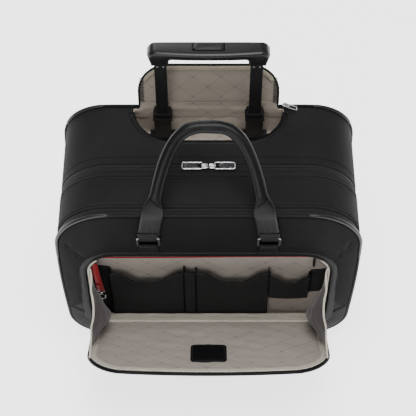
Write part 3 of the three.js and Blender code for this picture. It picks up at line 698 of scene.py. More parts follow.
def from_segments(points, x, z):
    """Each place's distance from a chain of points, in X and Z."""
    best = np.full(np.broadcast(x, z).shape, 1e9)
    for (ax, az), (bx, bz) in zip(points[:-1], points[1:]):
        length = max((bx - ax) ** 2 + (bz - az) ** 2, 1e-12)
        share = np.clip(((x - ax) * (bx - ax) + (z - az) * (bz - az)) / length, 0, 1)
        best = np.minimum(best, np.hypot(x - ax - share * (bx - ax), z - az - share * (bz - az)))
    return best


# ---- Shell ----------------------------------------------------------------------------------------

SKIN = 3.6 * mm
HOUSING_LOW, HOUSING_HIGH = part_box("wheel_housing_right")
HOUSING_CUTS = [
    ((side * (HOUSING_LOW[0] - 0.3 * mm), HOUSING_LOW[1] - MID_Y - 0.3 * mm, HOUSING_LOW[2] - 20 * mm),
     (side * (HOUSING_HIGH[0] + 9 * mm), HOUSING_HIGH[1] - MID_Y + 9 * mm, HOUSING_HIGH[2] + 0.3 * mm))
    for side in (-1, 1)]
ZIP_EDGE = 4.7 * mm                       # from a zip's middle to the cloth beside it


def well_loop(grow=0.0, arc=14, straight=16):
    """The well's mouth seen from above: round at the front, square at the back."""
    points, normals, _ = rounded_loop(-WELL_HALF - grow, WELL_FRONT - grow, WELL_HALF + grow,
                                      WELL_REAR + grow, WELL_R + grow, 1 * mm + grow, arc, straight)
    return points, normals


def rear_skin():
    """The cloth of the rear half: the outline carried back, rounded over at the rear and closed by the
    slightly bulged rear panel, then cut open for the well and the wheels."""
    points, normals, bulges = case_loop(arc=20, straight=30)
    front = MAIN_ZIP + ZIP_EDGE
    section = [(front, -SKIN), (front, -0.6 * mm), (front + 0.8 * mm, 0.5 * mm), (front + 3 * mm, 0.4 * mm)]
    seam = MAIN_ZIP + 17 * mm
    section += [(seam - 2 * mm, 0.6 * mm), (seam - 0.7 * mm, 0.35 * mm), (seam, -0.5 * mm),
                (seam + 0.7 * mm, 0.35 * mm), (seam + 2.5 * mm, 0.6 * mm)]
    section += [(y, 0.6 * mm) for y in np.linspace(seam + 8 * mm, BACK - 9 * mm, 9)]
    section += [(BACK - 3 * mm, 0.2 * mm), (BACK - 1 * mm, -0.9 * mm), (BACK - 0.1 * mm, -2.6 * mm)]
    section = np.array(section)
    dome = 2.2 * mm * np.sin(np.pi * np.clip((section[:, 0] - front) / (BACK - front), 0, 1)) ** 0.7
    reach = section[None, :, 1] + dome[None, :] * bulges[:, None] * np.abs(normals[:, 1:])
    reach = reach + corner_push(normals)[:, None] * smoothstep(front, BACK, section[None, :, 0])
    side = points[:, None, :] + normals[:, None, :] * reach[..., None]
    skirt = np.stack([side[..., 0], np.broadcast_to(section[:, 0], reach.shape), side[..., 1]], -1)
    inset, inset_normals, _ = case_loop(4 * mm, arc=20, straight=30)
    inset = inset + inset_normals * corner_push(inset_normals)[:, None]
    middle = np.array([0, (BASE + TOP) / 2])
    share = np.array([1, 0.97, 0.93, 0.85, 0.72, 0.55, 0.36, 0.16, 0.01])
    flat = middle + (inset[:, None, :] - middle) * share[None, :, None]
    swell = BACK + 1.6 * mm * (1 - share ** 3) + 0 * flat[..., 0]
    panel = np.stack([flat[..., 0], swell, flat[..., 1]], -1)
    surface = np.concatenate([skirt, panel], 1)
    arc_length = np.concatenate([[0], np.cumsum(np.hypot(*np.diff(points, axis=0).T))])
    uv = np.stack(np.broadcast_arrays(arc_length[:, None], np.concatenate(
        [section[:, 0], BACK + np.linspace(3, 60, len(share)) * mm])[None, :]), -1)
    flat_uv = surface[:, len(section):, [0, 2]]
    uv = np.concatenate([uv[:, :len(section)], flat_uv], 1)
    piece = grid("rear_skin", surface, "cloth", "case", "shell_cloth", wrap_rows=True, uv=uv)
    close_last(piece, len(points), surface.shape[1])
    orient(piece, (0, 0.04, 0.18))
    thicken(piece, SKIN)
    settle(piece)
    mouth = well_loop(0.5 * mm)[0]
    carve(piece, HOUSING_CUTS, [(mouth, WELL_FLOOR, TOP + 30 * mm)])
    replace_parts(piece, "rear_shell")


def close_last(piece, rows, columns):
    """Fills the hole that a grid's last column leaves in the middle."""
    work = bmesh.new()
    work.from_mesh(piece.data)
    work.verts.ensure_lookup_table()
    work.faces.new([work.verts[i * columns + columns - 1] for i in range(rows)]).smooth = True
    work.to_mesh(piece.data)
    work.free()


def orient(piece, inside):
    """Makes the faces of an open surface point away from a place inside it."""
    inside = Vector(inside)
    work = bmesh.new()
    work.from_mesh(piece.data)
    bmesh.ops.recalc_face_normals(work, faces=work.faces)
    total = sum(face.normal.dot(face.calc_center_median() - inside) * face.calc_area() for face in work.faces)
    if total < 0:
        bmesh.ops.reverse_faces(work, faces=work.faces)
    work.to_mesh(piece.data)
    work.free()
    return piece


MID_SEAMS = (-31, -80)   # where the middle section's cloth is seamed, in mm along Y
MID_DOME = 2.6 * mm      # how far its padded panels swell between the corners
SEAM_PITCH = 3.2 * mm    # from stitch to stitch along those seams


def mid_skin():
    """The middle section's cloth: padded panels between seams, ending in a raised edge at each zip."""
    loop = case_loop(arc=20, straight=36)
    rear, front = MAIN_ZIP - ZIP_EDGE, FRONT_ZIP + ZIP_EDGE
    points = [(rear, -SKIN, 0), (rear, -0.6 * mm, 0), (rear - 0.8 * mm, 0.8 * mm, 0),
              (rear - 4 * mm, 1.0 * mm, 0.1)]
    for seam in np.array(MID_SEAMS) * mm:
        points += [(seam + 2.4 * mm, 1.1 * mm, 0.35), (seam + 0.8 * mm, 0.7 * mm, 0.3),
                   (seam, -0.5 * mm, 0.3),
                   (seam - 0.8 * mm, 0.7 * mm, 0.3), (seam - 2.4 * mm, 1.1 * mm, 0.35)]
        if seam > -50 * mm:
            points += [(y * mm, 1.3 * mm, b) for y,
                       b in ((-38, 0.7), (-46, 0.95), (-55.5, 1), (-65, 0.95), (-73, 0.7))]
    points += [(front + 0.8 * mm, 0.7 * mm, 0), (front, -0.6 * mm, 0), (front, -SKIN, 0)]
    piece = band("mid_skin", loop, points, "cloth", "mid_section", "shell_cloth", MID_DOME, closed=True)
    outward(piece)
    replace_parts(piece, "mid_shell")
    for seam in MID_SEAMS:
        for side in (-1, 1):
            row = run_round(seam * mm + side * 2.3 * mm, 1.35 * mm, 0.34 * MID_DOME)
            stitch(f"mid_seam_{-seam}_{'rear' if side > 0 else 'front'}", row,
                   radial(resample(row, SEAM_PITCH)[0]),
                   "black_thread", "mid_section", "shell_cloth", SEAM_PITCH, 0.55 * mm)


def run_round(depth, offset, dome=0.0, bottom=66 * mm):
    """A path over the case at a depth, from low on one side to low on the other."""
    points, normals, bulges = above(case_loop(arc=20, straight=36), bottom)
    place = points + normals * (offset + dome * bulges)[:, None]
    return np.stack([place[:, 0], np.full(len(place), depth), place[:, 1]], 1)


def radial(points):
    """Directions out of the case's outline at points that lie along it: away from the nearest centre of an
    upper corner's arc, and level below it."""
    centre_x = np.sign(points[:, 0]) * np.minimum(np.abs(points[:, 0]), HALF - TOP_R)
    rise = np.maximum(points[:, 2] - (TOP - TOP_R), 0)
    return unit(np.stack([points[:, 0] - centre_x, 0 * centre_x, rise], 1))


def zips():
    """Each zip's two tapes, with teeth that meet in the middle."""
    halves = [("main_zip_rear", MAIN_ZIP, 1, "case", "main_zip_rear_half"),
              ("main_zip_front", MAIN_ZIP, -1, "mid_section", "main_zip_front_half"),
              ("front_zip_rear", FRONT_ZIP, 1, "mid_section", "front_zip_rear_half"),
              ("front_zip_front", FRONT_ZIP, -1, "front_section", "front_zip_front_half")]
    loop = above(case_loop(arc=20, straight=30), LOW_R)
    for name, middle, side, body, node in halves:
        def at(reach):
            """A depth, at a reach from the middle of the teeth towards this half."""
            return middle + side * reach

        tape = [(at(0.5 * mm), -1.5 * mm), (at(1.2 * mm), -1.2 * mm), (at(4.5 * mm), -1.0 * mm),
                (at(6.0 * mm), -1.3 * mm), (at(6.0 * mm), -2.4 * mm), (at(0.5 * mm), -2.4 * mm)]
        piece = outward(band(name, loop, tape, "black_tape", body, "zip_tape"))
        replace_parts(piece, node)
        row = run_round(at(0.75 * mm), -0.9 * mm, bottom=LOW_R)
        points, ahead = resample(row, 2.2 * mm)
        scatter(name + "_teeth", bead(1.5 * mm, 2.1 * mm, 1.1 * mm), BEAD_FACES, points, ahead,
                radial(points),
                "teeth", body, "zip_tape")


def fold_strips():
    """Cloth behind the bottom of each zip's seam, tucked inwards, which opens as the sections lean apart."""
    points, normals, _ = case_loop(arc=20, straight=30)
    keep = points[:, 1] < 92 * mm
    first = int(np.flatnonzero(keep & ~np.roll(keep, 1))[0])
    order = (np.arange(int(keep.sum())) + first) % len(points)
    points, normals = points[order], normals[order]
    share = np.linspace(-1, 1, 11)
    tuck = 3.5 * mm + 5 * mm * (1 - share ** 2)
    for name, middle, rear, front in (("main_fold_strip", MAIN_ZIP, "case", "mid_section"),
                                      ("front_fold_strip", FRONT_ZIP, "mid_section", "front_section")):
        place = points[:, None, :] - normals[:, None, :] * tuck[None, :, None]
        depth = np.broadcast_to(middle + share * 5.0 * mm, place.shape[:2])
        piece = grid(name, np.stack([place[..., 0], depth, place[..., 1]], -1), "black_tape", None,
                     "zip_tape")
        orient(piece, (0, MID_Y + middle, 0.18))
        settle(thicken(piece, 0.8 * mm))
        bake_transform(piece)


def piping():
    """Round cords in covers on the front and rear edges, with glossy mouldings at the upper corners."""
    for name, depth, body, node in (("front_piping_cord", FACE + 2.0 * mm, "front_section", "front_piping"),
                                    ("rear_piping_cord", BACK - 2.0 * mm, "case", "rear_piping")):
        points, normals, _ = case_loop(arc=20, straight=24)
        if node == "rear_piping":
            points, normals, _ = above((points, normals, normals[:, 0]), HOUSING_HIGH[2] + 1 * mm)
        push = corner_push(normals) if node == "rear_piping" else 0 * normals[:, 0]
        place = points + normals * (1.0 * mm + push)[:, None]
        path = np.stack([place[:, 0], np.full(len(place), depth), place[:, 1]], 1)
        cord = outward(tube(name, path, 2.3 * mm, "smooth_leather", body, "black_plastic",
                            closed=node == "front_piping", sides=12))
        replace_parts(cord, node)
    corners = (("front", FACE + 2.0 * mm, "front_section", 236 * mm, 136 * mm),
               ("rear", BACK - 2.0 * mm, "case", 300 * mm, 152 * mm))
    for name, depth, body, low, reach in corners:
        for side_name, side in (("left", -1), ("right", 1)):
            points, normals, _ = case_loop(arc=30, straight=60)
            keep = (points[:, 0] * side > reach) & (points[:, 1] > low)
            points, normals = points[keep], normals[keep]
            push = corner_push(normals) if name == "rear" else 0 * normals[:, 0]
            place = points + normals * (1.2 * mm + push)[:, None]
            path = np.stack([place[:, 0], np.full(len(place), depth), place[:, 1]], 1)
            share = np.linspace(0, 1, len(path))
            radius = (2.8 - 0.9 * (2 * share - 1) ** 10) * mm
            outward(tube(f"{name}_corner_trim_{side_name}", path, radius, "gloss", body, "black_plastic",
                         sides=14))

# ---- Front face -----------------------------------------------------------------------------------


def opening_loop(grow=0.0, arc=16, straight=24):
    """The outline of the front pocket's opening: a rounded rectangle, moved outwards by grow."""
    return rounded_loop(-OPEN_HALF - grow, OPEN_LOW - grow, OPEN_HALF + grow, OPEN_HIGH + grow,
                        OPEN_LOW_R + grow, OPEN_R + grow, arc, straight)


CORNER_SEAMS = [np.array([(-206, 283), (-200, 276), (-193, 262), (-184, 248), (-176, 240), (-171, 236)]) * mm,
                np.array([(-207, 108), (-196, 99), (-186, 86), (-181, 74), (-178, 62)]) * mm]


def front_face():
    """The front panel: a ring lofted from the case's outline to the opening, gently padded, with seams
    that part the upper corners and smooth patches on the lower ones. It is closed behind."""
    outer = case_loop(1.2 * mm, arc=16, straight=40)
    inner = opening_loop(0.5 * mm, 16, 40)
    share = np.concatenate([[0, 0, 0.02, 0.05], np.linspace(0.1, 0.95, 22), [1, 1]])
    x = outer[0][:, None, 0] * (1 - share) + inner[0][:, None, 0] * share
    z = outer[0][:, None, 1] * (1 - share) + inner[0][:, None, 1] * share
    wide = np.linalg.norm(outer[0] - inner[0], axis=1)[:, None]
    padding = np.minimum(wide * 0.055, 3.0 * mm) * np.sin(np.pi * np.clip(share, 0, 1)) ** 0.55
    padding = padding + 0.35 * mm * creases(x, z, 3, 0.7) * np.sin(np.pi * share)
    patch = np.zeros_like(x)
    for line in CORNER_SEAMS:
        gap = from_segments(line, -np.abs(x), z)
        padding = padding - 2.0 * mm * np.exp(-(gap / (1.6 * mm)) ** 2)
    patch = smoothstep(112 * mm, 104 * mm, z + (np.abs(x) - 205 * mm) * 0.9) * smoothstep(170 * mm, 178 * mm,
                                                                                          np.abs(x))
    depth = FACE - padding
    depth[:, 0] = FACE + 4.6 * mm
    depth[:, 1] = FACE + 0.9 * mm
    depth[:, -1] = FACE + 4.6 * mm
    surface = np.stack([x, depth, z], -1)
    # The front panel takes the darker cloth copy, which paints shade on it.
    piece = grid("front_face", surface, "shaded_front_cloth", "front_section", "shell_cloth",
                 wrap_rows=True, wrap_columns=True, uv=surface[..., [0, 2]])
    mark(piece, "smooth_patch", patch)
    outward(piece)
    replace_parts(piece, "front_panel")
    for side_name, side in (("left", 1), ("right", -1)):
        for name, line in zip(("upper", "lower"), CORNER_SEAMS):
            fine = chaikin(line)
            for edge, shift in (("a", 2.6 * mm), ("b", -2.6 * mm)):
                normal = np.stack([-np.gradient(fine[:, 1]), np.gradient(fine[:, 0])], 1)
                row = fine + unit(normal) * shift
                path = np.stack([row[:, 0] * side, np.full(len(row), FACE - 1.9 * mm), row[:, 1]], 1)
                stitch(f"{name}_corner_stitches_{side_name}_{edge}", path, (0, -1, 0), "black_thread",
                       "front_section", "shell_cloth", 3.2 * mm, 0.6 * mm)


def chaikin(points, rounds=3):
    """Corner cutting: each segment is replaced by its points at a quarter and three quarters."""
    points = np.asarray(points, float)
    for _ in range(rounds):
        cut = np.stack([points[:-1] * 0.75 + points[1:] * 0.25, points[:-1] * 0.25 + points[1:] * 0.75], 1)
        points = np.concatenate([points[:1], cut.reshape(-1, points.shape[1]), points[-1:]])
    return points


def opening_binding():
    """A smooth stitched border round the pocket's opening, and beige zip tape inside its sides and top."""
    loop = opening_loop()
    section = [(FACE + 4.4 * mm, 0.0), (FACE - 0.6 * mm, -0.2 * mm), (FACE - 1.8 * mm, 0.6 * mm),
               (FACE - 2.5 * mm, 3 * mm), (FACE - 2.7 * mm, 7 * mm), (FACE - 2.6 * mm, 10.5 * mm),
               (FACE - 1.9 * mm, 12.2 * mm), (FACE - 0.2 * mm, 12.6 * mm), (FACE + 1.5 * mm, 8 * mm)]
    outward(band("opening_border", loop, section, "smooth_leather", "front_section", "shell_cloth",
                 closed=True))
    for name, grow in (("inner", 2.2 * mm), ("outer", 10.4 * mm)):
        points, _, _ = opening_loop(grow)
        path = np.stack([points[:, 0], np.full(len(points), FACE - 2.85 * mm), points[:, 1]], 1)
        stitch(f"border_stitches_{name}", path, (0, -1, 0), "black_thread", "front_section", "shell_cloth",
               3.4 * mm, 0.6 * mm, closed=True)
    points, normals, bulges = opening_loop()
    for side_name, side in (("left", -1), ("right", 1)):
        keep = (points[:, 1] > OPEN_LOW + 6 * mm) & (points[:, 0] * side > OPEN_HALF - 16 * mm)
        edge = (points[keep], normals[keep], bulges[keep])
        pocket_side_tape(side_name, edge)


def pocket_side_tape(side_name, edge):
    """Beige tape with zip teeth on its edge, along one side of the opening."""
    tape = [(FACE + 1.2 * mm, -0.4 * mm), (FACE - 0.4 * mm, -1.0 * mm), (FACE - 0.7 * mm, -4.2 * mm),
            (FACE - 0.2 * mm, -4.4 * mm), (FACE + 0.4 * mm, -1.6 * mm), (FACE + 1.6 * mm, -1.2 * mm)]
    outward(band(f"pocket_zip_tape_{side_name}", edge, tape, "beige_tape", "front_section", "beige_lining"))
    row = np.stack([(edge[0] - edge[1] * 4.2 * mm)[:, 0], np.full(len(edge[0]), FACE - 0.6 * mm),
                    (edge[0] - edge[1] * 4.2 * mm)[:, 1]], 1)
    points, ahead = resample(row, 2.0 * mm)
    scatter(f"pocket_zip_teeth_{side_name}", bead(1.3 * mm, 1.9 * mm, 1.0 * mm), BEAD_FACES, points, ahead,
            (0, -1, 0),
            "teeth", "front_section", "zip_tape")


def pocket_lining():
    """The pocket's lining: out from the opening, back along the sides and across the back, softly creased."""
    arc, straight = 14, 26
    edge = opening_loop(0, arc, straight)[0]
    tub = [rounded_loop(TUB_LOW[0] + inset, TUB_LOW[2] + inset, TUB_HIGH[0] - inset, TUB_HIGH[2] - inset,
                        OPEN_R - inset, OPEN_R - inset, arc, straight)[0] for inset in (2.2 * mm, 5 * mm)]
    rows = [np.column_stack([edge[:, 0], np.full(len(edge), FACE + 4.8 * mm), edge[:, 1]])]
    for loop, depth in ((tub[0], 5.6), (tub[0], 8), (tub[0], 14), (tub[0], 19.5), (tub[1], 21.6)):
        rows.append(np.column_stack([loop[:, 0], np.full(len(loop), FACE + depth * mm), loop[:, 1]]))
    middle = np.array([0, (TUB_LOW[2] + TUB_HIGH[2]) / 2])
    for share in np.linspace(0.97, 0.01, 22):
        x, z = ((tub[1] - middle) * share + middle).T
        swell = creases(x, z, 11, 0.8) * 0.9 * mm * min(1, (1 - share) * 8)
        rows.append(np.column_stack([x, TUB_BACK - 0.9 * mm + swell * 0.8, z]))
    surface = np.stack(rows, 1)
    piece = grid("pocket_lining", surface, "lining", "front_section", "beige_lining", wrap_rows=True,
                 uv=surface[..., [0, 2]])
    close_last(piece, len(edge), surface.shape[1])
    orient(piece, (0, MID_Y + FACE - 0.5, 0.15))
    flip(piece)
    thicken(piece, 0.9 * mm)
    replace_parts(piece, "pocket_tub")

# ---- Organizer ------------------------------------------------------------------------------------


def pouch(name, node, x0, x1, low, rim, front, bow=1.2):
    """A soft pocket on the lining: walls that leave the back, round over and cross the front, up to a rim
    that is a function of the share across. The front bows out a little and its bottom is rounded."""
    back = TUB_BACK - 0.5 * mm
    front = front + (back - TUB_BACK)
    wide, deep = x1 - x0, back - front
    turn = np.linspace(0, math.pi / 2, 6)
    radius = 3.2 * mm
    left = np.stack([x0 + radius * (1 - np.cos(turn)), front + radius * (1 - np.sin(turn))], 1)
    across = np.stack([np.linspace(x0 + radius, x1 - radius, 30)[1:-1], np.full(28, front)], 1)
    right = np.stack([x1 - (left[::-1, 0] - x0), left[::-1, 1]], 1)
    side = np.array([(x0, back), (x0, back - deep * 0.5)])
    section = np.concatenate([side, left, across, right,
                              np.stack([x1 + x0 - side[::-1, 0], side[::-1, 1]], 1)])
    share = np.clip((section[:, 0] - x0) / wide, 0, 1)
    middle = np.sin(np.pi * share)
    top = np.array([rim(s) for s in share])
    rows = []
    for level in np.concatenate([[0, 0, 0.012, 0.03], np.linspace(0.06, 1, 20)]):
        z = low + (top - low) * level
        in_front = (section[:, 1] < back - 0.6 * deep) * 1.0
        swell = bow * mm * middle * math.sin(math.pi * min(level * 1.15, 1)) ** 0.6
        wave = 0.5 * mm * creases(section[:, 0], z, int(x0 * 1000) % 97 + 5, 0.9) * level
        y = section[:, 1] - (swell + wave + 3.4 * mm * level ** 2) * in_front
        if len(rows) == 0:
            y = np.full(len(section), back)
        elif level < 0.02:
            y = back + (y - back) * (0.55 if len(rows) == 1 else 0.86)
        sag = 2.2 * mm * middle * (1 - level) ** 6
        rows.append(np.stack([section[:, 0], y, z - sag], 1))
    surface = np.array(rows)
    piece = grid(name, surface, "pocket_leather", "front_section", "black_leather", uv=surface[..., [0, 2]])
    orient(piece, (float((x0 + x1) / 2), MID_Y + back, float(low + (top.mean() - low) / 2)))
    thicken(piece, 1.3 * mm)
    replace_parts(piece, node)
    line = rows[-1][8:-8] + np.array([0, -0.3 * mm, -3.0 * mm])
    stitch(name + "_rim_stitches", line, (0, -1, 0), "black_thread", "front_section", "black_leather",
           3.2 * mm, 0.5 * mm)
    lines = rows[-1][3:-3]
    outward(tube(name + "_rim", lines + np.array([0, 0.4 * mm, 0.0]), 1.2 * mm, "edge_leather",
                 "front_section", "black_leather", sides=8))
    return rows[-1]


def lip(name, x0, x1, z0, z1, y):
    """A folded flap of leather that stands at the dip of a phone pocket: a bowed strip with soft corners."""
    across, up = np.meshgrid(np.linspace(-1, 1, 22), np.linspace(0, 1, 9))
    wide = (x1 - x0) / 2 * (1 - 0.10 * up ** 3)
    x = (x0 + x1) / 2 + across * wide
    z = z0 + (z1 - z0) * up * (1 - 0.12 * across ** 4 - 0.05 * across ** 2)
    depth = y - 1.2 * mm - 1.6 * mm * np.sin(np.pi * up * 0.8) * (1 - across ** 6) + up * 1.2 * mm
    surface = np.stack([x, depth, z], -1)
    piece = grid(name, surface, "edge_leather", "front_section", "black_leather", uv=surface[..., [0, 2]])
    orient(piece, (float(x.mean()), MID_Y + y + 20 * mm, float(z.mean())))
    subdivide(thicken(piece, 1.8 * mm))
    path = surface[-2, 2:-2] + np.array([0, -0.9 * mm, 0])
    stitch(name + "_stitches", path, (0, -1, 0.2), "black_thread", "front_section", "black_leather", 3 * mm,
           0.5 * mm)


POUCH_DEPTH = 10.6 * mm   # from the lining to the pouches' fronts


def organizer():
    """The row of pockets across the lining's back, with plain leather panels at both ends."""

    def scooped(high, dip):
        """A rim that is high at both ends and dips between them."""
        return lambda s: high - (high - dip) * smoothstep(0.10, 0.42, min(s, 1 - s)) ** 0.9

    front = TUB_BACK - POUCH_DEPTH
    boxes = {name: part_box(name) for name in ("phone_pocket_left", "phone_pocket_right", "small_pocket",
                                             "pen_sleeve")}
    for name in ("phone_pocket_left", "phone_pocket_right"):
        (x0, _, z0), (x1, _, z1) = boxes[name]
        pouch(name.replace("_pocket", "_pouch"), name, x0, x1, z0, scooped(z1 + 1 * mm, z1 - 25 * mm), front)
        centre, half = (x0 + x1) / 2, (x1 - x0) * 0.19
        lip(name + "_lip", centre - half, centre + half, z1 - 31 * mm, z1 - 19 * mm, front - 3 * mm)
    (x0, _, z0), (x1, _, z1) = boxes["small_pocket"]
    pouch("small_pouch", "small_pocket", x0, x1, z0, scooped(z1 + 1 * mm, z1 - 16 * mm), front)
    lip("small_pocket_lip", x0 + 17 * mm, x1 - 17 * mm, z1 - 22 * mm, z1 - 12 * mm, front - 3 * mm)
    (x0, _, z0), (x1, _, z1) = boxes["pen_sleeve"]
    pouch("pen_pouch", "pen_sleeve", x0, x1, z0, lambda s: z1 - 2 * mm * s, front, bow=2.0)
    for name, corners in (
            ("left_panel", [(-176, 56), (-148.5, 52), (-148.5, 186), (-176, 192)]),
            ("right_panel", [(152.5, 114), (177, 118), (177, 182), (152.5, 176)])):
        a, b, c, d = np.array(corners) * mm
        s, t = np.meshgrid(np.linspace(0, 1, 10), np.linspace(0, 1, 20))
        plan = ((1 - s)[..., None] * a + s[..., None] * b) * (1 - t)[..., None] \
            + ((1 - s)[..., None] * d + s[..., None] * c) * t[..., None]
        swell = 1.4 * mm * np.sin(np.pi * s) ** 0.5 * np.sin(np.pi * t) ** 0.4
        surface = np.stack([plan[..., 0], TUB_BACK - 1.6 * mm - swell, plan[..., 1]], -1)
        piece = grid(name, surface, "pocket_leather", "front_section", "black_leather", uv=plan)
        orient(piece, (float(plan[..., 0].mean()), MID_Y + TUB_BACK + 0.1, float(plan[..., 1].mean())))
        thicken(piece, 1.6 * mm)


def organizer_zip():
    """A thin red zip across the lining above the pockets, with a leather tab on its slider."""
    x = np.linspace(-157, 164, 60) * mm
    z = (213.5 + 1.5 * np.sin(x * 14)) * mm
    path = np.stack([x, np.full(60, TUB_BACK - 2.2 * mm), z], 1)
    outward(tube("organizer_zip_line", path, 1.1 * mm, "red", "front_section", "red_strap", sides=8))
    for name, shift in (("upper", 3.4 * mm), ("lower", -3.4 * mm)):
        outward(tube(f"organizer_zip_tape_{name}", path + np.array([0, 0.9 * mm, shift]), 2.2 * mm, "lining",
                     "front_section", "beige_lining", sides=10, squash=0.35))
    low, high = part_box("organizer_zip_pull")
    centre = (low[0] + high[0]) / 2
    rows = np.linspace(high[2] - 1 * mm, low[2], 14)
    wide = np.interp(rows, [low[2], low[2] + 4 * mm, high[2] - 9 * mm, high[2]], [3.6, 4.8, 4.0, 6.0]) * mm
    path = np.stack([np.full(14, centre), np.full(14, TUB_BACK - 4.4 * mm), rows], 1)
    tab = outward(tube("organizer_pull", path, wide, "smooth_leather", "organizer_zip_pull", "black_leather",
                       sides=16, squash=0.42))
    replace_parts(subdivide(tab), "organizer_zip_pull")


def key_leash():
    """A leaning strip of red webbing with a stitched fold, and a swivel hook on its end."""
    low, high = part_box("key_leash")
    x, y = (low[0] + high[0]) / 2, (low[1] + high[1]) / 2 - MID_Y
    share = np.linspace(0, 1, 40)[:, None]
    top = np.array([x - 3 * mm, y + 1.5 * mm, high[2] - 1 * mm])
    foot = np.array([x + 4 * mm, y - 0.6 * mm, low[2] + 24 * mm])
    path = top + (foot - top) * share + np.array([0, -1, 0]) * (np.sin(share * math.pi) * 2.2 * mm)
    across, thick = 5 * mm, 0.8 * mm
    section = np.array([(-1, 0), (-0.96, -1), (0.96, -1), (1, 0), (0.96, 1), (-0.96, 1)]) * [across, thick]
    surface = path[:, None, :] + np.stack([section[:, 0], section[:, 1], 0 * section[:, 0]], 1)[None]
    strap = outward(grid("leash_strap", surface, "red", "key_leash", "red_strap", wrap_columns=True,
                         caps=True))
    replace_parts(strap, "key_leash")
    fold = surface[27:36] + np.array([0, -1.5 * mm, 0])
    outward(grid("leash_fold", fold, "red", "key_leash", "red_strap", wrap_columns=True, caps=True))
    for index, row in enumerate((28, 34)):
        line = path[row] + np.stack([np.linspace(-4, 4, 12), np.full(12, -2.5), np.zeros(12)], 1) * mm
        stitch(f"leash_stitches_{index}", line, (0, -1, 0), "black_thread", "key_leash", "red_strap", 2 * mm,
               0.5 * mm)
    turn = np.linspace(0, 2 * math.pi, 28, endpoint=False)
    eye = path[-1] + np.stack([5.0 * mm * np.cos(turn), 0 * turn, 2.2 * mm * np.sin(turn) - 1.6 * mm], 1)
    outward(tube("leash_eye", eye, 0.8 * mm, "nickel", "key_leash", "bright_metal", closed=True, sides=8))
    drop = np.linspace(0, 1, 9)
    post = path[-1] + np.stack([0 * drop, 0 * drop, (-3 - 7 * drop) * mm], 1)
    outward(tube("leash_swivel", post, np.array([1.6, 2.2, 2.2, 1.7, 1.7, 2.3, 2.3, 1.9, 1.5]) * mm, "nickel",
                 "key_leash", "bright_metal", sides=12))
    arc = np.linspace(math.radians(75), math.radians(75 + 318), 30)
    hook = path[-1] + np.stack([5.4 * mm * np.cos(arc), 0 * arc, (-16.5 + 7.0 * np.sin(arc)) * mm], 1)
    outward(tube("leash_hook", hook, 1.25 * mm, "nickel", "key_leash", "bright_metal", sides=10))

# ---- Pocket flap ----------------------------------------------------------------------------------

FLAP_SIN, FLAP_COS = math.sin(FLAP_OPEN), math.cos(FLAP_OPEN)


def on_flap(x, along, off):
    """A place on the open flap: across, along from the hinge, and off its inner face."""
    y = FLAP_HINGE[1] - MID_Y - along * FLAP_SIN + off * FLAP_COS
    z = FLAP_HINGE[2] + along * FLAP_COS + off * FLAP_SIN
    return np.stack(np.broadcast_arrays(x, y, z), -1)


FLAP_UP = (0, FLAP_COS, FLAP_SIN)


def flap_loop(inset=0.0, arc=16, straight=30):
    """The flap's outline across and along: small corners at the hinge and wide ones at the free edge."""
    points, normals, bulges = rounded_loop(
        -FLAP_HALF + inset, 0.5 * mm + inset, FLAP_HALF - inset, FLAP_LENGTH - inset,
        4 * mm, FLAP_R + 8 * mm - inset, arc, straight)
    drawn_in = 13 * mm * (points[:, 0] / FLAP_HALF) ** 2 * smoothstep(FLAP_LENGTH * 0.3, FLAP_LENGTH,
                                                                      points[:, 1])
    return points - np.stack([0 * drawn_in, drawn_in], 1), normals, bulges


def flap_layer(name, inset, off, thickness, material, slot, crown=0.0, wrinkle=0.0, seed=1):
    """A sheet over the flap's outline: rings that close on the middle, crowned and softly creased."""
    outline = flap_loop(inset)[0]
    middle = np.array([0, FLAP_LENGTH / 2])
    share = np.concatenate([[1, 0.995], np.linspace(0.97, 0.02, 26)])
    plan = middle + (outline[:, None, :] - middle) * share[None, :, None]
    rise = crown * (1 - share ** 6) + wrinkle * creases(plan[..., 0], plan[..., 1], seed,
                                                        0.6) * (1 - share ** 8)
    surface = on_flap(plan[..., 0], plan[..., 1], off + rise)
    piece = grid(name, surface, material, "pocket_flap", slot, wrap_rows=True, uv=plan)
    close_last(piece, len(outline), len(share))
    beyond = on_flap(0, FLAP_LENGTH / 2, -0.3 if off + crown > 0 else 0.3)
    orient(piece, (float(beyond[0]), float(beyond[1]) + MID_Y, float(beyond[2])))
    thicken(piece, thickness)
    return piece


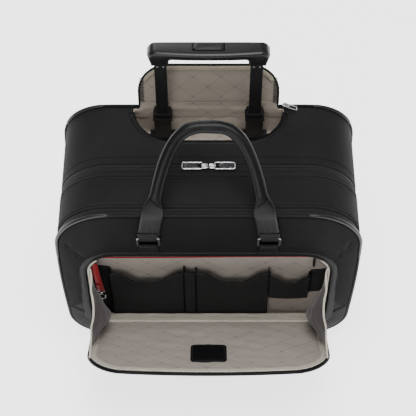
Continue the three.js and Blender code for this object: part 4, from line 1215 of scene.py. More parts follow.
def pocket_flap():
    """The flap: cloth outside, a rolled black rim, a beige lining held by a stitched tape, and a label."""
    outer = flap_layer("flap_outer", 1.2 * mm, -1.6 * mm, 2.2 * mm, "cloth", "shell_cloth", -1.6 * mm,
                       0.3 * mm, 5)
    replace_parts(outer, "pocket_flap_panel")
    flap_layer("flap_lining", 2.0 * mm, 1.6 * mm, 1.4 * mm, "lining", "beige_lining", 0.9 * mm, 0.9 * mm, 7)
    outline = flap_loop(1.6 * mm)[0]
    outward(tube("flap_rim", on_flap(outline[:, 0], outline[:, 1], 0.0), 2.5 * mm, "smooth_leather",
                 "pocket_flap",
                 "black_leather", closed=True))
    outline, normals, _ = flap_loop(0)
    profile = np.array([(3.0, 1.9), (3.6, 3.4), (6.0, 3.9), (9.4, 4.0), (12.2, 3.7), (13.0, 2.6),
                        (13.0, 1.9)]) * mm
    plan = outline[:, None, :] - normals[:, None, :] * profile[None, :, :1]
    surface = on_flap(plan[..., 0], plan[..., 1], profile[None, :, 1])
    outward(grid("flap_edge_tape", surface, "beige_tape", "pocket_flap", "beige_lining", wrap_rows=True,
                 wrap_columns=True))
    for name, inset in (("outer", 5.0 * mm), ("inner", 11.4 * mm)):
        plan, _, _ = flap_loop(inset)
        stitch(f"flap_stitches_{name}", on_flap(plan[:, 0], plan[:, 1], 4.2 * mm), FLAP_UP, "pale_thread",
               "pocket_flap", "beige_lining", 3.6 * mm, 0.6 * mm, closed=True)
    plan, _, _ = flap_loop(3.6 * mm)
    keep = plan[:, 1] > 30 * mm
    points, ahead = resample(on_flap(plan[keep, 0], plan[keep, 1], 2.4 * mm), 2.1 * mm)
    scatter("flap_zip_teeth", bead(1.3 * mm, 1.9 * mm, 1.0 * mm), BEAD_FACES, points, ahead, FLAP_UP,
            "teeth", "pocket_flap", "zip_tape")
    patch = rounded_loop(-26.5 * mm, 93 * mm, 26.5 * mm, 147 * mm, 7 * mm, 7 * mm, 8, 8)[0]
    middle = np.array([0, 120 * mm])
    share = np.array([1, 1, 0.97, 0.93, 0.7, 0.4, 0.02])
    height = np.array([2.4, 3.4, 4.0, 4.1, 4.3, 4.4, 4.4]) * mm
    plan = middle + (patch[:, None, :] - middle) * share[None, :, None]
    label = grid("flap_label", on_flap(plan[..., 0], plan[..., 1], height[None, :]), "leather", "pocket_flap",
                 "black_leather", wrap_rows=True, uv=plan)
    close_last(label, len(patch), len(share))
    orient(label, on_label_base())
    row = middle + (patch - middle) * 0.90
    stitch("label_stitches", on_flap(row[:, 0], row[:, 1], 4.4 * mm), FLAP_UP, "black_thread", "pocket_flap",
           "black_leather", 2.8 * mm, 0.55 * mm, closed=True)


def on_label_base():
    """A place in the world just behind the middle of the label, which the label faces away from."""
    place = on_flap(0, 120 * mm, -0.2)
    return float(place[0]), float(place[1]) + MID_Y, float(place[2])


def hinge_strip():
    """Beige tape that carries the flap's lining over its hinge, with a row of stitches."""
    x = np.linspace(-FLAP_HALF + 4 * mm, FLAP_HALF - 4 * mm, 50)
    profile = [on_flap(0, 13 * mm, 4.4 * mm), on_flap(0, 7 * mm, 4.6 * mm), on_flap(0, 2 * mm, 4.4 * mm),
               (0, FACE - 1.5 * mm, OPEN_LOW + 5.5 * mm), (0, FACE + 1.0 * mm, OPEN_LOW + 4.2 * mm),
               (0, FACE + 7 * mm, OPEN_LOW + 1.5 * mm), (0, FACE + 10 * mm, OPEN_LOW - 4 * mm)]
    fine = chaikin(np.array(profile), 2)
    surface = np.repeat(fine[:, None, :], len(x), 1)
    surface[..., 0] = x
    surface[..., 2] += creases(surface[..., 0], surface[..., 1] * 3, 21, 0.8) * 0.5 * mm
    piece = grid("flap_hinge_strip", surface, "beige_tape", None, "beige_lining")
    orient(piece, (0, MID_Y + FACE, 0))
    settle(thicken(piece, 1.0 * mm))
    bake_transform(piece)
    line = fine[len(fine) // 2 + 2]
    path = np.stack([x, np.full(50, line[1]), np.full(50, line[2] + 0.5 * mm)], 1)
    stitch("hinge_stitches", path, (0, -0.3, 1), "pale_thread", "front_section", "beige_lining", 5.5 * mm,
           1.0 * mm)


def gussets():
    """Lining cloth between the opening's edge and the flap's, folded inwards, with taped free edges. A
    point is a share of the way round from the face to the flap, and a distance out from the hinge."""
    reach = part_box("gusset_right")[1][2] - FLAP_HINGE[2]
    for side_name, side in (("left", -1), ("right", 1)):
        share, out = np.meshgrid(np.linspace(0, 1, 22), np.linspace(0.05, 1, 24))
        angle = FLAP_OPEN * (0.03 + 0.92 * share)
        length = reach * out * (1 - 0.17 * np.sin(np.pi * share) * out)
        fold = (1 - np.abs(2 * share - 1) ** 1.6) * (24 * np.sin(np.pi * np.clip(out * 1.05, 0, 1)) + 4 * out)
        x = side * (FLAP_HALF - 4.5 * mm - fold * mm + 1.5 * mm * creases(share * 0.1, out * 0.2, 31, 0.7))
        y = FLAP_HINGE[1] - MID_Y + 1.2 * mm - length * np.sin(angle)
        z = FLAP_HINGE[2] + 3 * mm + length * np.cos(angle)
        surface = np.stack([x, y, z], -1)
        uv = np.stack([share * reach * 0.9, out * reach], -1)

        def fold_with_flap(piece):
            """Bakes the piece's placement into its mesh."""
            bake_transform(piece)

        for low, high, part in ((0, 4, "foot"), (4, 9, "low"), (9, 15, "middle"), (15, 23, "top")):
            rows = slice(low, high + 1)
            # The gussets take the dark lining copy: painted shade.
            piece = grid(f"gusset_{part}_{side_name}", surface[rows], "gusset", None, "shaded_lining",
                         uv=uv[rows])
            orient(piece, (-side * 1.0, MID_Y - 0.2, 0.15))
            settle(thicken(piece, 1.0 * mm, 0))
            fold_with_flap(piece)
            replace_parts(piece, f"gusset_{side_name}")
        hem = outward(tube(f"gusset_hem_{side_name}", surface[-1], 1.8 * mm, "beige_tape", None,
                           "beige_lining",
                           sides=10, squash=0.8))
        fold_with_flap(hem)

# ---- Top well -------------------------------------------------------------------------------------


def well():
    """The well's lining with soft upright creases, and the smooth binding round its mouth."""
    points, normals = well_loop(0, 14, 24)
    heights = np.concatenate([[TOP - 0.6 * mm], np.linspace(TOP - 3 * mm, WELL_FLOOR + 5 * mm, 14),
                              [WELL_FLOOR + 1.5 * mm, WELL_FLOOR + 0.3 * mm]])
    rows = []
    for z in heights:
        low = (TOP - z) / (TOP - WELL_FLOOR)
        lean = creases(points[:, 0] * 1.4, points[:, 1] * 1.4 + z * 0.4, 41,
                       0.8) * 1.3 * mm * math.sin(math.pi * low) - 0.8 * mm
        inward = max(0, low - 0.93) * 30 * mm
        place = points + normals * (lean - inward)[:, None]
        rows.append(np.column_stack([place, np.full(len(place), z)]))
    middle = np.array([0, (WELL_FRONT + WELL_REAR) / 2])
    for share in (0.9, 0.6, 0.3, 0.02):
        rows.append(np.column_stack([middle + (rows[len(heights) - 1][:, :2] - middle) * share,
                                     np.full(len(points), WELL_FLOOR + 0.2 * mm)]))
    surface = np.stack(rows, 1)
    around = np.concatenate([[0], np.cumsum(np.hypot(*np.diff(points, axis=0).T))])
    uv = np.stack(np.broadcast_arrays(around[:, None], surface[:, :, 2]), -1)
    # The well's cloth takes the brightened lining copy: painted light against the well's shade.
    piece = grid("well_cloth", surface, "lit_deep_lining", "case", "shaded_lining", wrap_rows=True, uv=uv)
    close_last(piece, len(points), surface.shape[1])
    orient(piece, (0, MID_Y + float(middle[1]), TOP))
    flip(piece)
    thicken(piece, 1.2 * mm)
    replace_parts(piece, "well_lining")

    points, normals = well_loop(0, 14, 24)
    keep = points[:, 1] < WELL_REAR - 4 * mm
    split = np.flatnonzero(~keep)
    order = np.concatenate([np.arange(split[-1] + 1, len(points)), np.arange(0, split[0])])
    points, normals = points[order], normals[order]
    section = np.array([(-1.4, -3.5), (-1.8, 0.0), (-1.0, 2.2), (1.0, 2.9), (4.0, 2.9), (6.2, 2.2),
                        (6.8, 0.9),
                        (4.0, -0.6), (0.4, -1.5)]) * mm
    place = points[:, None, :] + normals[:, None, :] * section[None, :, :1]
    surface = np.concatenate([place, np.broadcast_to(TOP + section[None, :, 1:], place.shape[:2] + (1,))], -1)
    binding = outward(grid("well_rim", surface, "smooth_leather", "case", "black_leather", wrap_columns=True,
                           caps=True))
    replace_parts(binding, "well_binding")
    row = points + normals * 5.6 * mm
    path = np.column_stack([row, np.full(len(row), TOP + 2.6 * mm)])
    stitch("well_rim_stitches", path, (0, 0, 1), "black_thread", "case", "black_leather", 3.2 * mm, 0.6 * mm)

    half, front, rear = WELL_HALF - 9 * mm, 66 * mm, WELL_REAR - 0.5 * mm
    plate = rounded_loop(-half, front, half, rear, 8 * mm, 1.5 * mm, 8, 10)[0]
    share = np.array([1, 1, 0.98, 0.9, 0.5, 0.02])
    height = WELL_FLOOR + np.array([0.3, 2.0, 2.8, 3.0, 3.0, 3.0]) * mm
    centre = np.array([0, (front + rear) / 2])
    plan = centre + (plate[:, None, :] - centre) * share[None, :, None]
    surface = np.concatenate([plan, np.broadcast_to(height[None, :, None], plan.shape[:2] + (1,))], -1)
    # The floor plate also takes the brightened lining copy: painted light.
    piece = grid("well_floor_plate", surface, "lit_deep_lining", "case", "shaded_lining", wrap_rows=True, uv=plan)
    close_last(piece, len(plate), len(share))
    orient(piece, (0, MID_Y + float(centre[1]), 0))


def flip(piece):
    """Turns every face of a piece over."""
    work = bmesh.new()
    work.from_mesh(piece.data)
    bmesh.ops.reverse_faces(work, faces=work.faces)
    work.to_mesh(piece.data)
    work.free()


def on_well_flap(x, along, off):
    """A place on the well's flap: across, along from its hinge, and off its inner face."""
    sin, cos = math.sin(WELL_LEAN), math.cos(WELL_LEAN)
    y = WELL_HINGE[1] - MID_Y + along * sin - off * cos
    z = WELL_HINGE[2] + along * cos + off * sin
    return np.stack(np.broadcast_arrays(x, y, z), -1)


def well_flap():
    """The well's flap, leaning back: lining inside, cloth outside, a taped top edge and overcast sides."""
    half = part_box("well_flap_panel")[1][0]
    up = (0, -math.cos(WELL_LEAN), math.sin(WELL_LEAN))

    def loop(inset=0.0):
        """The flap's outline, moved inwards: nearly square at its hinge and round at its free end."""
        return rounded_loop(-half + inset, 1 * mm + inset, half - inset, 70 * mm - inset, 2 * mm,
                            46 * mm - inset, 14, 22)

    # The flap's lining takes the darker lining copy: painted shade.
    for name, inset, off, material, slot, lift in (
            ("well_flap_lining", 0.8 * mm, 0.5 * mm, "shaded_back_lining", "shaded_lining", 0.7 * mm),
            ("well_flap_outer", 0.6 * mm, -1.0 * mm, "cloth", "shell_cloth", -1.0 * mm)):
        outline = loop(inset)[0]
        middle = np.array([0, 34 * mm])
        share = np.concatenate([[1, 0.99], np.linspace(0.95, 0.02, 18)])
        plan = middle + (outline[:, None, :] - middle) * share[None, :, None]
        rise = lift * (1 - share ** 5) + 0.7 * mm * creases(plan[..., 0], plan[..., 1], 51,
                                                            0.7) * (1 - share ** 3)
        piece = grid(name, on_well_flap(plan[..., 0], plan[..., 1], off + rise), material, "well_flap", slot,
                     wrap_rows=True, uv=plan)
        close_last(piece, len(outline), len(share))
        far = on_well_flap(0, 34 * mm, -0.3 if lift > 0 else 0.3)
        orient(piece, (float(far[0]), float(far[1]) + MID_Y, float(far[2])))
        thicken(piece, 1.2 * mm)
        if lift > 0:
            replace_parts(piece, "well_flap_panel")
    outline = loop(0.8 * mm)[0]
    rim = on_well_flap(outline[:, 0], outline[:, 1], 0.0)
    outward(tube("well_flap_rim", rim, 1.9 * mm, "smooth_leather", "well_flap", "black_leather", closed=True,
                 sides=10))
    points, normals, _ = loop(0)
    keep = (points[:, 1] > 40 * mm) & (np.abs(points[:, 0]) < half - 4 * mm)
    points, normals = points[keep], normals[keep]
    profile = np.array([(1.6, 1.2), (2.0, 3.0), (4.0, 3.6), (7.0, 3.6), (8.0, 2.9), (8.0, 1.2)]) * mm
    plan = points[:, None, :] - normals[:, None, :] * profile[None, :, :1]
    outward(grid("well_flap_tape", on_well_flap(plan[..., 0], plan[..., 1], profile[None, :, 1]), "dull_tape",
                 "well_flap", "beige_lining", wrap_columns=True, caps=True))
    row = points - normals * 6.0 * mm
    stitch("well_flap_stitches", on_well_flap(row[:, 0], row[:, 1], 3.8 * mm), up, "pale_thread", "well_flap",
           "beige_lining", 3.4 * mm, 0.6 * mm)
    for side_name, side in (("left", -1), ("right", 1)):
        steps = np.arange(0, 22)
        along = (5 + steps * 2.1) * mm
        across = side * (half - 2.0 * mm - (steps % 2) * 6.0 * mm)
        zigzag = on_well_flap(across, along, 2.5 * mm)
        outward(tube(f"well_overcast_{side_name}", zigzag, 0.7 * mm, "black_thread", "well_flap", "zip_tape",
                     sides=6))
    x = np.linspace(-WELL_HALF + 1 * mm, WELL_HALF - 1 * mm, 40)
    profile = chaikin(np.array([(0, WELL_REAR - 2.5 * mm, TOP - 16 * mm),
                                (0, WELL_REAR - 2.1 * mm, TOP - 5 * mm),
                                (0, WELL_REAR - 1.3 * mm, TOP + 1.5 * mm),
                                (0, WELL_REAR + 1.1 * mm, TOP + 6 * mm),
                                tuple(on_well_flap(0, 7 * mm, 3.0 * mm))]), 2)
    surface = np.repeat(profile[:, None, :], len(x), 1)
    narrow = 1 - 0.085 * smoothstep(TOP - 8 * mm, TOP + 6 * mm, surface[..., 2])
    surface[..., 0] = x * narrow
    surface[..., 1] += creases(surface[..., 0] * 1.5, surface[..., 2] * 3, 61, 1.0) * 0.7 * mm
    # The hinge cloth takes the darker lining copy: painted shade.
    piece = grid("well_hinge_cloth", surface, "shaded_back_lining", None, "shaded_lining", uv=surface[..., [0, 2]])
    orient(piece, (0, MID_Y + 0.4, 0.3))
    settle(thicken(piece, 0.9 * mm))
    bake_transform(piece)

# ---- Telescopic handle ----------------------------------------------------------------------------


def pull_grip():
    """The grip: an arched bar with shouldered ends and tapering legs, rounded on every edge and bowed a
    little forward. Its outline is carried back through rounded edges, around the button's pocket."""
    low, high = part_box("grip")
    front, back = low[1] - MID_Y, high[1] - MID_Y
    half, bar, leg = high[0], 15 * mm, 29 * mm
    foot, top = low[2] + 9 * mm, high[2]
    inner, arch = half - leg, 6 * mm
    under = top - bar
    turn = np.linspace(math.pi, math.pi / 2, 8)
    right_arch = np.stack([-inner + arch + arch * np.cos(turn), under - arch + arch * np.sin(turn)], 1)
    outline = [(-half + 4 * mm, foot), (-inner - 1 * mm, foot), (-inner, foot + 3 * mm), *right_arch]
    outline += [(-x, z) for x, z in right_arch[::-1]]
    shoulder = [(half - 4 * mm, foot), (half - 0.2 * mm, top - 14 * mm),
                (half + 0.6 * mm, top - 9.5 * mm), (half - 4 * mm, top - 2.6 * mm),
                (half - 9 * mm, top - 0.3 * mm),
                (half - 30 * mm, top)]
    outline += [(inner, foot + 3 * mm), (inner + 1 * mm, foot), *shoulder, (0, top)]
    outline += [(-x, z) for x, z in shoulder[:0:-1]]
    outline = np.array(dense(outline, 4 * mm))
    normals = edge_normals(outline)
    turn = np.linspace(0, math.pi / 2, 6)
    wide, radius = 6.5 * mm, 3.4 * mm
    section = [(front + wide * (1 - math.sin(t)), wide * 0.62 * (1 - math.cos(t))) for t in turn[::-1]]
    section += [(back - radius * (1 - math.sin(t)), radius * (1 - math.cos(t))) for t in turn]
    section = np.array(section)
    place = outline[:, None, :] - normals[:, None, :] * section[None, :, 1:]
    bow = 5.5 * mm * (1 - np.clip(np.abs(place[..., 0]) / half, 0, 1) ** 2) * smoothstep(foot, top,
                                                                                         place[..., 1])
    depth = section[None, :, 0] - bow * (section[None, :, 0] < (front + back) / 2)
    surface = np.stack([place[..., 0], depth, place[..., 1]], -1)
    piece = grid("pull_grip", surface, "grip", "trolley_upper", "black_plastic", wrap_rows=True)
    cap_ends(piece, len(outline), len(section))
    outward(piece)
    button_low, button_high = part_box("grip_button")
    pocket = ((button_low[0] - 0.6 * mm, button_low[1] - MID_Y - 0.6 * mm, top - 8 * mm),
              (button_high[0] + 0.6 * mm, button_high[1] - MID_Y + 0.6 * mm, top + 5 * mm))
    tubes = [((x - 9 * mm, (front + back) / 2 - 5 * mm, foot - 5 * mm),
              (x + 9 * mm, (front + back) / 2 + 5 * mm, foot + 14 * mm)) for x in (-67 * mm, 67 * mm)]
    carve(piece, [pocket, *tubes])
    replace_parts(piece, "grip")

    (x0, y0, z0), (x1, y1, z1) = button_low, button_high
    loop = rounded_loop(x0, y0 - MID_Y, x1, y1 - MID_Y, 4 * mm, 4 * mm, 8, 8)[0]
    share = np.array([1, 1, 0.985, 0.95, 0.7, 0.35, 0.02])
    height = z1 - np.array([6.0, 0.9, 0.3, 0.05, 0.25, 0.45, 0.5]) * mm
    plan = (loop[:, None, :] - loop.mean(0)) * share[None, :, None] + loop.mean(0)
    surface = np.concatenate([plan, np.broadcast_to(height[None, :, None], plan.shape[:2] + (1,))], -1)
    button = grid("press_button", surface, "grip", "grip_button", "black_plastic", wrap_rows=True)
    close_last(button, len(loop), len(share))
    orient(button, (0, MID_Y + float(loop.mean(0)[1]), float(z0) - 0.02))
    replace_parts(button, "grip_button")


def dense(points, spacing):
    """A closed outline with points added until none are further apart than the spacing."""
    result = []
    for a, b in zip(points, points[1:] + points[:1]):
        count = max(1, int(math.dist(a, b) / spacing))
        result += [(a[0] + (b[0] - a[0]) * k / count, a[1] + (b[1] - a[1]) * k / count) for k in range(count)]
    return result


def edge_normals(outline):
    """Outward normals of a closed outline, from its neighbours on both sides."""
    along = unit(np.roll(outline, -1, 0) - outline)
    along = unit(along + np.roll(along, 1, 0))
    normals = np.stack([along[:, 1], -along[:, 0]], 1)
    area = 0.5 * np.sum(outline[:, 0] * np.roll(outline[:, 1], -1) - np.roll(outline[:, 0], -1) * outline[:,
                                                                                                          1])
    return normals if area > 0 else -normals


def cap_ends(piece, rows, columns):
    """Flat faces over a wrapped grid's first and last columns."""
    work = bmesh.new()
    work.from_mesh(piece.data)
    work.verts.ensure_lookup_table()
    for column in (0, columns - 1):
        face = work.faces.new([work.verts[i * columns + column] for i in range(rows)])
        face.smooth = True
    bmesh.ops.recalc_face_normals(work, faces=work.faces)
    work.to_mesh(piece.data)
    work.free()


def rivets():
    """Two small domed rivets near the top of each upper tube, side by side on its front."""
    for side_name in ("left", "right"):
        low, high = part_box(f"upper_tube_{side_name}")
        x, front = (low[0] + high[0]) / 2, low[1] - MID_Y
        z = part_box("grip")[0][2] + 2 * mm
        for index, shift in enumerate((-4.2, 4.2)):
            dome(f"tube_rivet_{side_name}_{index}", (x + shift * mm, front, z), (0, -1, 0), 1.7 * mm,
                 0.9 * mm,
                 "dark_metal", "trolley_upper", "dark_metal")


def dome(name, centre, axis, radius, rise, material, body, slot, sides=16):
    """A low dome: rings on a quarter ellipse about an axis, closed below."""
    axis = np.array(axis, float)
    side = unit(np.cross(axis, [0.3, 0.5, 0.8]))
    other = np.cross(axis, side)
    turn = np.linspace(0, 2 * math.pi, sides, endpoint=False)
    tilt = np.linspace(0.02, math.pi / 2, 5)
    ring = side * np.cos(turn)[:, None] + other * np.sin(turn)[:, None]
    surface = (np.array(centre) + ring[None] * (radius * np.sin(tilt))[:, None, None]
               + axis * (rise * np.cos(tilt))[:, None, None])
    base = surface[-1:] - axis * 0.6 * mm
    return outward(grid(name, np.concatenate([surface, base]), material, body, slot, wrap_columns=True,
                        caps=True))

# ---- Carry handle ---------------------------------------------------------------------------------

HANDLE_HALF = 84 * mm
HANDLE_LENGTH = 175 * mm
RING_WIDTH = 34 * mm
RING_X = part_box("ring_right")[0][0] + RING_WIDTH / 2
RING_BAR = Vector(JOINTS["ring_swing"]["pos_m"])
HANDLE_BAR = Vector(JOINTS["carry_handle_swing"]["pos_m"])


def handle_place(x, along, off):
    """A place by the carry handle: nearly upright at the rings, then bent back over the case. along runs
    up the middle surface and off is out to the front."""
    start, end, bend_at, radius = math.radians(2), math.radians(45), 46 * mm, 34 * mm
    bend = np.clip((along - bend_at) / radius, 0, end - start)
    angle = start + bend
    beyond = np.maximum(along - bend_at - radius * (end - start), 0)
    before = np.minimum(along, bend_at)
    y = before * math.sin(start) + beyond * math.sin(end) + radius * (math.cos(start) - np.cos(angle))
    z = before * math.cos(start) + beyond * math.cos(end) + radius * (np.sin(angle) - math.sin(start))
    return np.stack(np.broadcast_arrays(x, HANDLE_BAR[1] - MID_Y + y - off * np.cos(angle),
                                        HANDLE_BAR[2] + z + off * np.sin(angle)), -1)


def handle_arch(count=130):
    """The arch laid flat, a superellipse: places, directions across it, and height above the rings."""
    first = math.asin((9 * mm / HANDLE_LENGTH) ** 0.6)
    turn = np.linspace(first, math.pi - first, count)
    path = np.stack([HANDLE_HALF * np.sign(np.cos(turn)) * np.abs(np.cos(turn)) ** (2 / 3.23),
                     HANDLE_LENGTH * np.sin(turn) ** (2 / 1.2)], 1)
    length = np.concatenate([[0], np.cumsum(np.hypot(*np.diff(path, axis=0).T))])
    even = np.linspace(0, length[-1], count)
    path = np.stack([np.interp(even, length, path[:, k]) for k in (0, 1)], 1)
    ahead = unit(np.gradient(path, axis=0))
    return path, np.stack([ahead[:, 1], -ahead[:, 0]], 1)


def carry_handle():
    """Straps that ease into a wrapped roll: a rounded section whose width and thickness change along the
    arch, with a folded seam along its inner side, stitched edges and a diagonal wrap at each end."""
    path, across = handle_arch()
    roll = smoothstep(58 * mm, 84 * mm, path[:, 1])
    width = 15 * mm + (9.2 - 15) * mm * roll
    thick = 2.6 * mm + (8.6 - 2.6) * mm * roll
    puff = 1 + 0.03 * np.sin(path[:, 0] * 190) * roll
    turn = np.linspace(0, 2 * math.pi, 28, endpoint=False)
    power = (0.35 + 0.55 * roll)[:, None]
    c, s = np.cos(turn)[None], np.sin(turn)[None]
    u = np.sign(c) * np.abs(c) ** power * (width * puff)[:, None]
    h = np.sign(s) * np.abs(s) ** (power + 0.1) * (thick * puff)[:, None]
    crease = np.exp(-((c + 1) / 0.05) ** 2) * roll[:, None] * 2.4 * mm
    u = u + crease
    flat = path[:, None, :] + across[:, None, :] * u[..., None]
    surface = handle_place(flat[..., 0], flat[..., 1], h + 0.8 * mm)
    piece = outward(grid("handle_roll", surface, "handle_leather", "carry_handle", "black_leather",
                         wrap_columns=True, caps=True))
    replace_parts(piece, "carry_handle")

    low = path[:, 1] < 62 * mm
    for name, side in (("left", -1), ("right", 1)):
        keep = low & (path[:, 0] * side > 0)
        run, over = path[keep], across[keep]
        order = np.argsort(run[:, 1])
        run, over = run[order], over[order] * np.sign(over[order][:, :1])
        for index, shift in enumerate((-12.6, -4.2, 4.2, 12.6)):
            row = run + over * shift * mm
            line = handle_place(row[:, 0], row[:, 1], 3.6 * mm)
            stitch(f"strap_stitches_{name}_{index}", line, (0, -1, 0.1), "black_thread", "carry_handle",
                   "black_leather", 3.2 * mm, 0.6 * mm)
        wrap = np.linspace(0, 1, 24)
        slant = (64 + 14 * wrap) * mm
        near = np.array([np.argmin(np.abs(path[:, 1] - z) + (path[:, 0] * side < 0)) for z in slant])
        spread = (wrap * 2 - 1) * width[near] * 0.93
        inner = path[near] + across[near] * (spread * (1 if across[near[0], 0] * side > 0 else -1))[:, None]
        ridge = handle_place(inner[:, 0], slant, thick[near] * (1 - 0.35 * (2 * wrap - 1) ** 4) + 1.0 * mm)
        outward(tube(f"wrap_seam_{name}", ridge, 1.0 * mm, "smooth_leather", "carry_handle", "black_leather",
                     sides=8))

        x = side * RING_X
        half = 12 * mm
        profile = np.array([(4.4, 15), (4.9, 10), (5.2, 5), (5.2, 0), (4.4, -2.9), (2.4, -4.8), (0, -5.4),
                            (-2.4, -4.8),
                            (-4.4, -2.9), (-5.2, 0), (-4.9, 5), (-4.4, 10), (-3.9, 15)]) * mm
        fine = chaikin(profile, 2)
        share = np.linspace(-1, 1, 14)
        wide = half * (1 + 0.18 * smoothstep(0, 14 * mm, fine[:, 1]))
        loop_x = x + share[None, :] * wide[:, None]
        surface = handle_place(loop_x, fine[:, None, 1] + 0 * loop_x, fine[:, None, 0] + 0 * loop_x)
        band_piece = grid(f"ring_loop_{name}", surface, "smooth_leather", "carry_handle", "black_leather")
        orient(band_piece, (x, float(HANDLE_BAR[1]), float(HANDLE_BAR[2]) + 4 * mm))
        thicken(band_piece, 1.8 * mm)
        for index, height in enumerate((7.5, 12.5)):
            line = handle_place(x + np.linspace(-12, 12, 12) * mm, height * mm, 5.6 * mm)
            stitch(f"loop_stitches_{name}_{index}", line, (0, -1, 0.1), "black_thread", "carry_handle",
                   "black_leather", 2.6 * mm, 0.55 * mm)


def rings_and_tabs():
    """Wire rings with rounded corners, and the leather tabs that hold them to the front."""
    tilt = math.radians(7)
    for name, side in (("left", -1), ("right", 1)):
        x = side * RING_X
        half, reach = RING_WIDTH / 2 - 2 * mm, 23 * mm
        loop = rounded_loop(-half, 0, half, reach, 4.5 * mm, 4.5 * mm, 9, 8)[0]
        y = RING_BAR[1] - MID_Y - loop[:, 1] * math.sin(tilt)
        z = RING_BAR[2] + loop[:, 1] * math.cos(tilt)
        ring = outward(tube(f"wire_ring_{name}", np.stack([x + loop[:, 0], y, z], 1), 2.0 * mm, "dark_metal",
                            "handle_rings", "dark_metal", closed=True, sides=14))
        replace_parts(ring, f"ring_{name}")
        bar_y, bar_z = RING_BAR[1] - MID_Y, RING_BAR[2]
        profile = np.array([(FACE - 4.0 * mm, bar_z - 24 * mm), (FACE - 4.4 * mm, bar_z - 16 * mm),
                            (FACE - 5.2 * mm, bar_z - 9 * mm), (bar_y - 3.6 * mm, bar_z - 4.6 * mm),
                            (bar_y - 5.2 * mm, bar_z), (bar_y - 3.6 * mm, bar_z + 4.2 * mm),
                            (bar_y, bar_z + 5.3 * mm), (bar_y + 3.0 * mm, bar_z + 4.6 * mm),
                            (FACE - 1.6 * mm, bar_z + 2.0 * mm), (FACE - 1.2 * mm, bar_z - 6 * mm)])
        fine = chaikin(profile, 2)
        share = np.linspace(-1, 1, 14)
        half_width = 12.5 * mm + 2.5 * mm * smoothstep(bar_z - 6 * mm, bar_z - 22 * mm, fine[:, 1])
        surface = np.stack([x + share[None, :] * half_width[:, None], np.repeat(fine[:, :1], 14, 1),
                            np.repeat(fine[:, 1:], 14, 1)], -1)
        tab = grid(f"ring_tab_{name}", surface, "smooth_leather", "front_section", "black_leather")
        orient(tab, (x, MID_Y + bar_y, bar_z))
        thicken(tab, 1.8 * mm)
        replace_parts(tab, f"handle_tab_{name}")
        for index, height in enumerate((-9.5, -20)):
            line = np.stack([x + np.linspace(-12, 12, 12) * mm,
                             np.full(12, FACE - (5.3 if index == 0 else 4.6) * mm),
                             np.full(12, bar_z + height * mm)], 1)
            stitch(f"tab_stitches_{name}_{index}", line, (0, -1, 0), "black_thread", "front_section",
                   "black_leather", 2.6 * mm, 0.55 * mm)

# ---- Zip sliders and pulls ------------------------------------------------------------------------


def slab(name, outline, low, high, place, material, body, slot, round_by=0.5 * mm):
    """A plate with rounded edges: an outline in two of its own directions, carried from low to high.
    place maps the outline's two numbers and the height to the case."""
    outline = np.array(dense([tuple(p) for p in outline], 3 * mm))
    normals = edge_normals(outline)
    section = [(low, round_by), (low + round_by * 0.3, round_by * 0.3), (low + round_by, 0),
               (high - round_by, 0), (high - round_by * 0.3, round_by * 0.3), (high, round_by)]
    plan = outline[:, None, :] - normals[:, None, :] * np.array([s[1] for s in section])[None, :, None]
    height = np.broadcast_to(np.array([s[0] for s in section])[None, :], plan.shape[:2])
    piece = grid(name, place(plan[..., 0], plan[..., 1], height), material, body, slot, wrap_rows=True,
                 uv=plan)
    cap_ends(piece, len(outline), len(section))
    return outward(piece)


def oblong(x0, y0, x1, y1, radius):
    """The outline of a small plate: a rounded rectangle with one radius."""
    return rounded_loop(x0, y0, x1, y1, radius, radius, 6, 2)[0]


def main_pulls():
    """Sliders that meet on the main zip, each with a silver frame round a dark ribbed insert."""
    for name, side in (("left", -1), ("right", 1)):
        body = f"main_slider_{name}"
        low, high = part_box(body)
        near = min(abs(low[0]), abs(high[0]))
        far = max(abs(low[0]), abs(high[0]))
        base = low[2]
        y = MAIN_ZIP

        def place(along, across, height):
            """Along the pull from its inner end, across it, and up from the case."""
            return np.stack(np.broadcast_arrays(side * (near + along), y + across, base + height), -1)

        slider = slab(f"slider_{name}", oblong(0, -4.5 * mm, 10 * mm, 4.5 * mm, 2.6 * mm), 0.2 * mm, 2.6 * mm,
                      place,
                      "nickel", body, "bright_metal", 0.8 * mm)
        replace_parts(slider, body)
        slab(f"slider_bridge_{name}", oblong(1.5 * mm, -1.6 * mm, 9.6 * mm, 1.6 * mm, 1.4 * mm), 2.4 * mm,
             4.4 * mm,
             place, "nickel", body, "bright_metal", 0.7 * mm)
        end = far - near
        loop = oblong(8.2 * mm, -5.6 * mm, end - 0.6 * mm, 5.6 * mm, 2.2 * mm)
        path = place(loop[:, 0], loop[:, 1], 2.6 * mm)
        outward(tube(f"pull_frame_{name}", path, 1.15 * mm, "nickel", body, "bright_metal", closed=True,
                     sides=10))
        slab(f"pull_insert_{name}", oblong(14 * mm, -5 * mm, end - 1.4 * mm, 5 * mm, 1.2 * mm), 1.8 * mm,
             3.3 * mm,
             place, "gloss", body, "black_plastic", 0.4 * mm)
        for index, start in enumerate(np.arange(16, end / mm - 3, 2.2)):
            rib = place(np.full(6, start * mm), np.linspace(-4.2, 4.2, 6) * mm, 3.3 * mm)
            outward(tube(f"pull_rib_{name}_{index}", rib, 0.5 * mm, "dark_metal", body, "dark_metal",
                         sides=6))


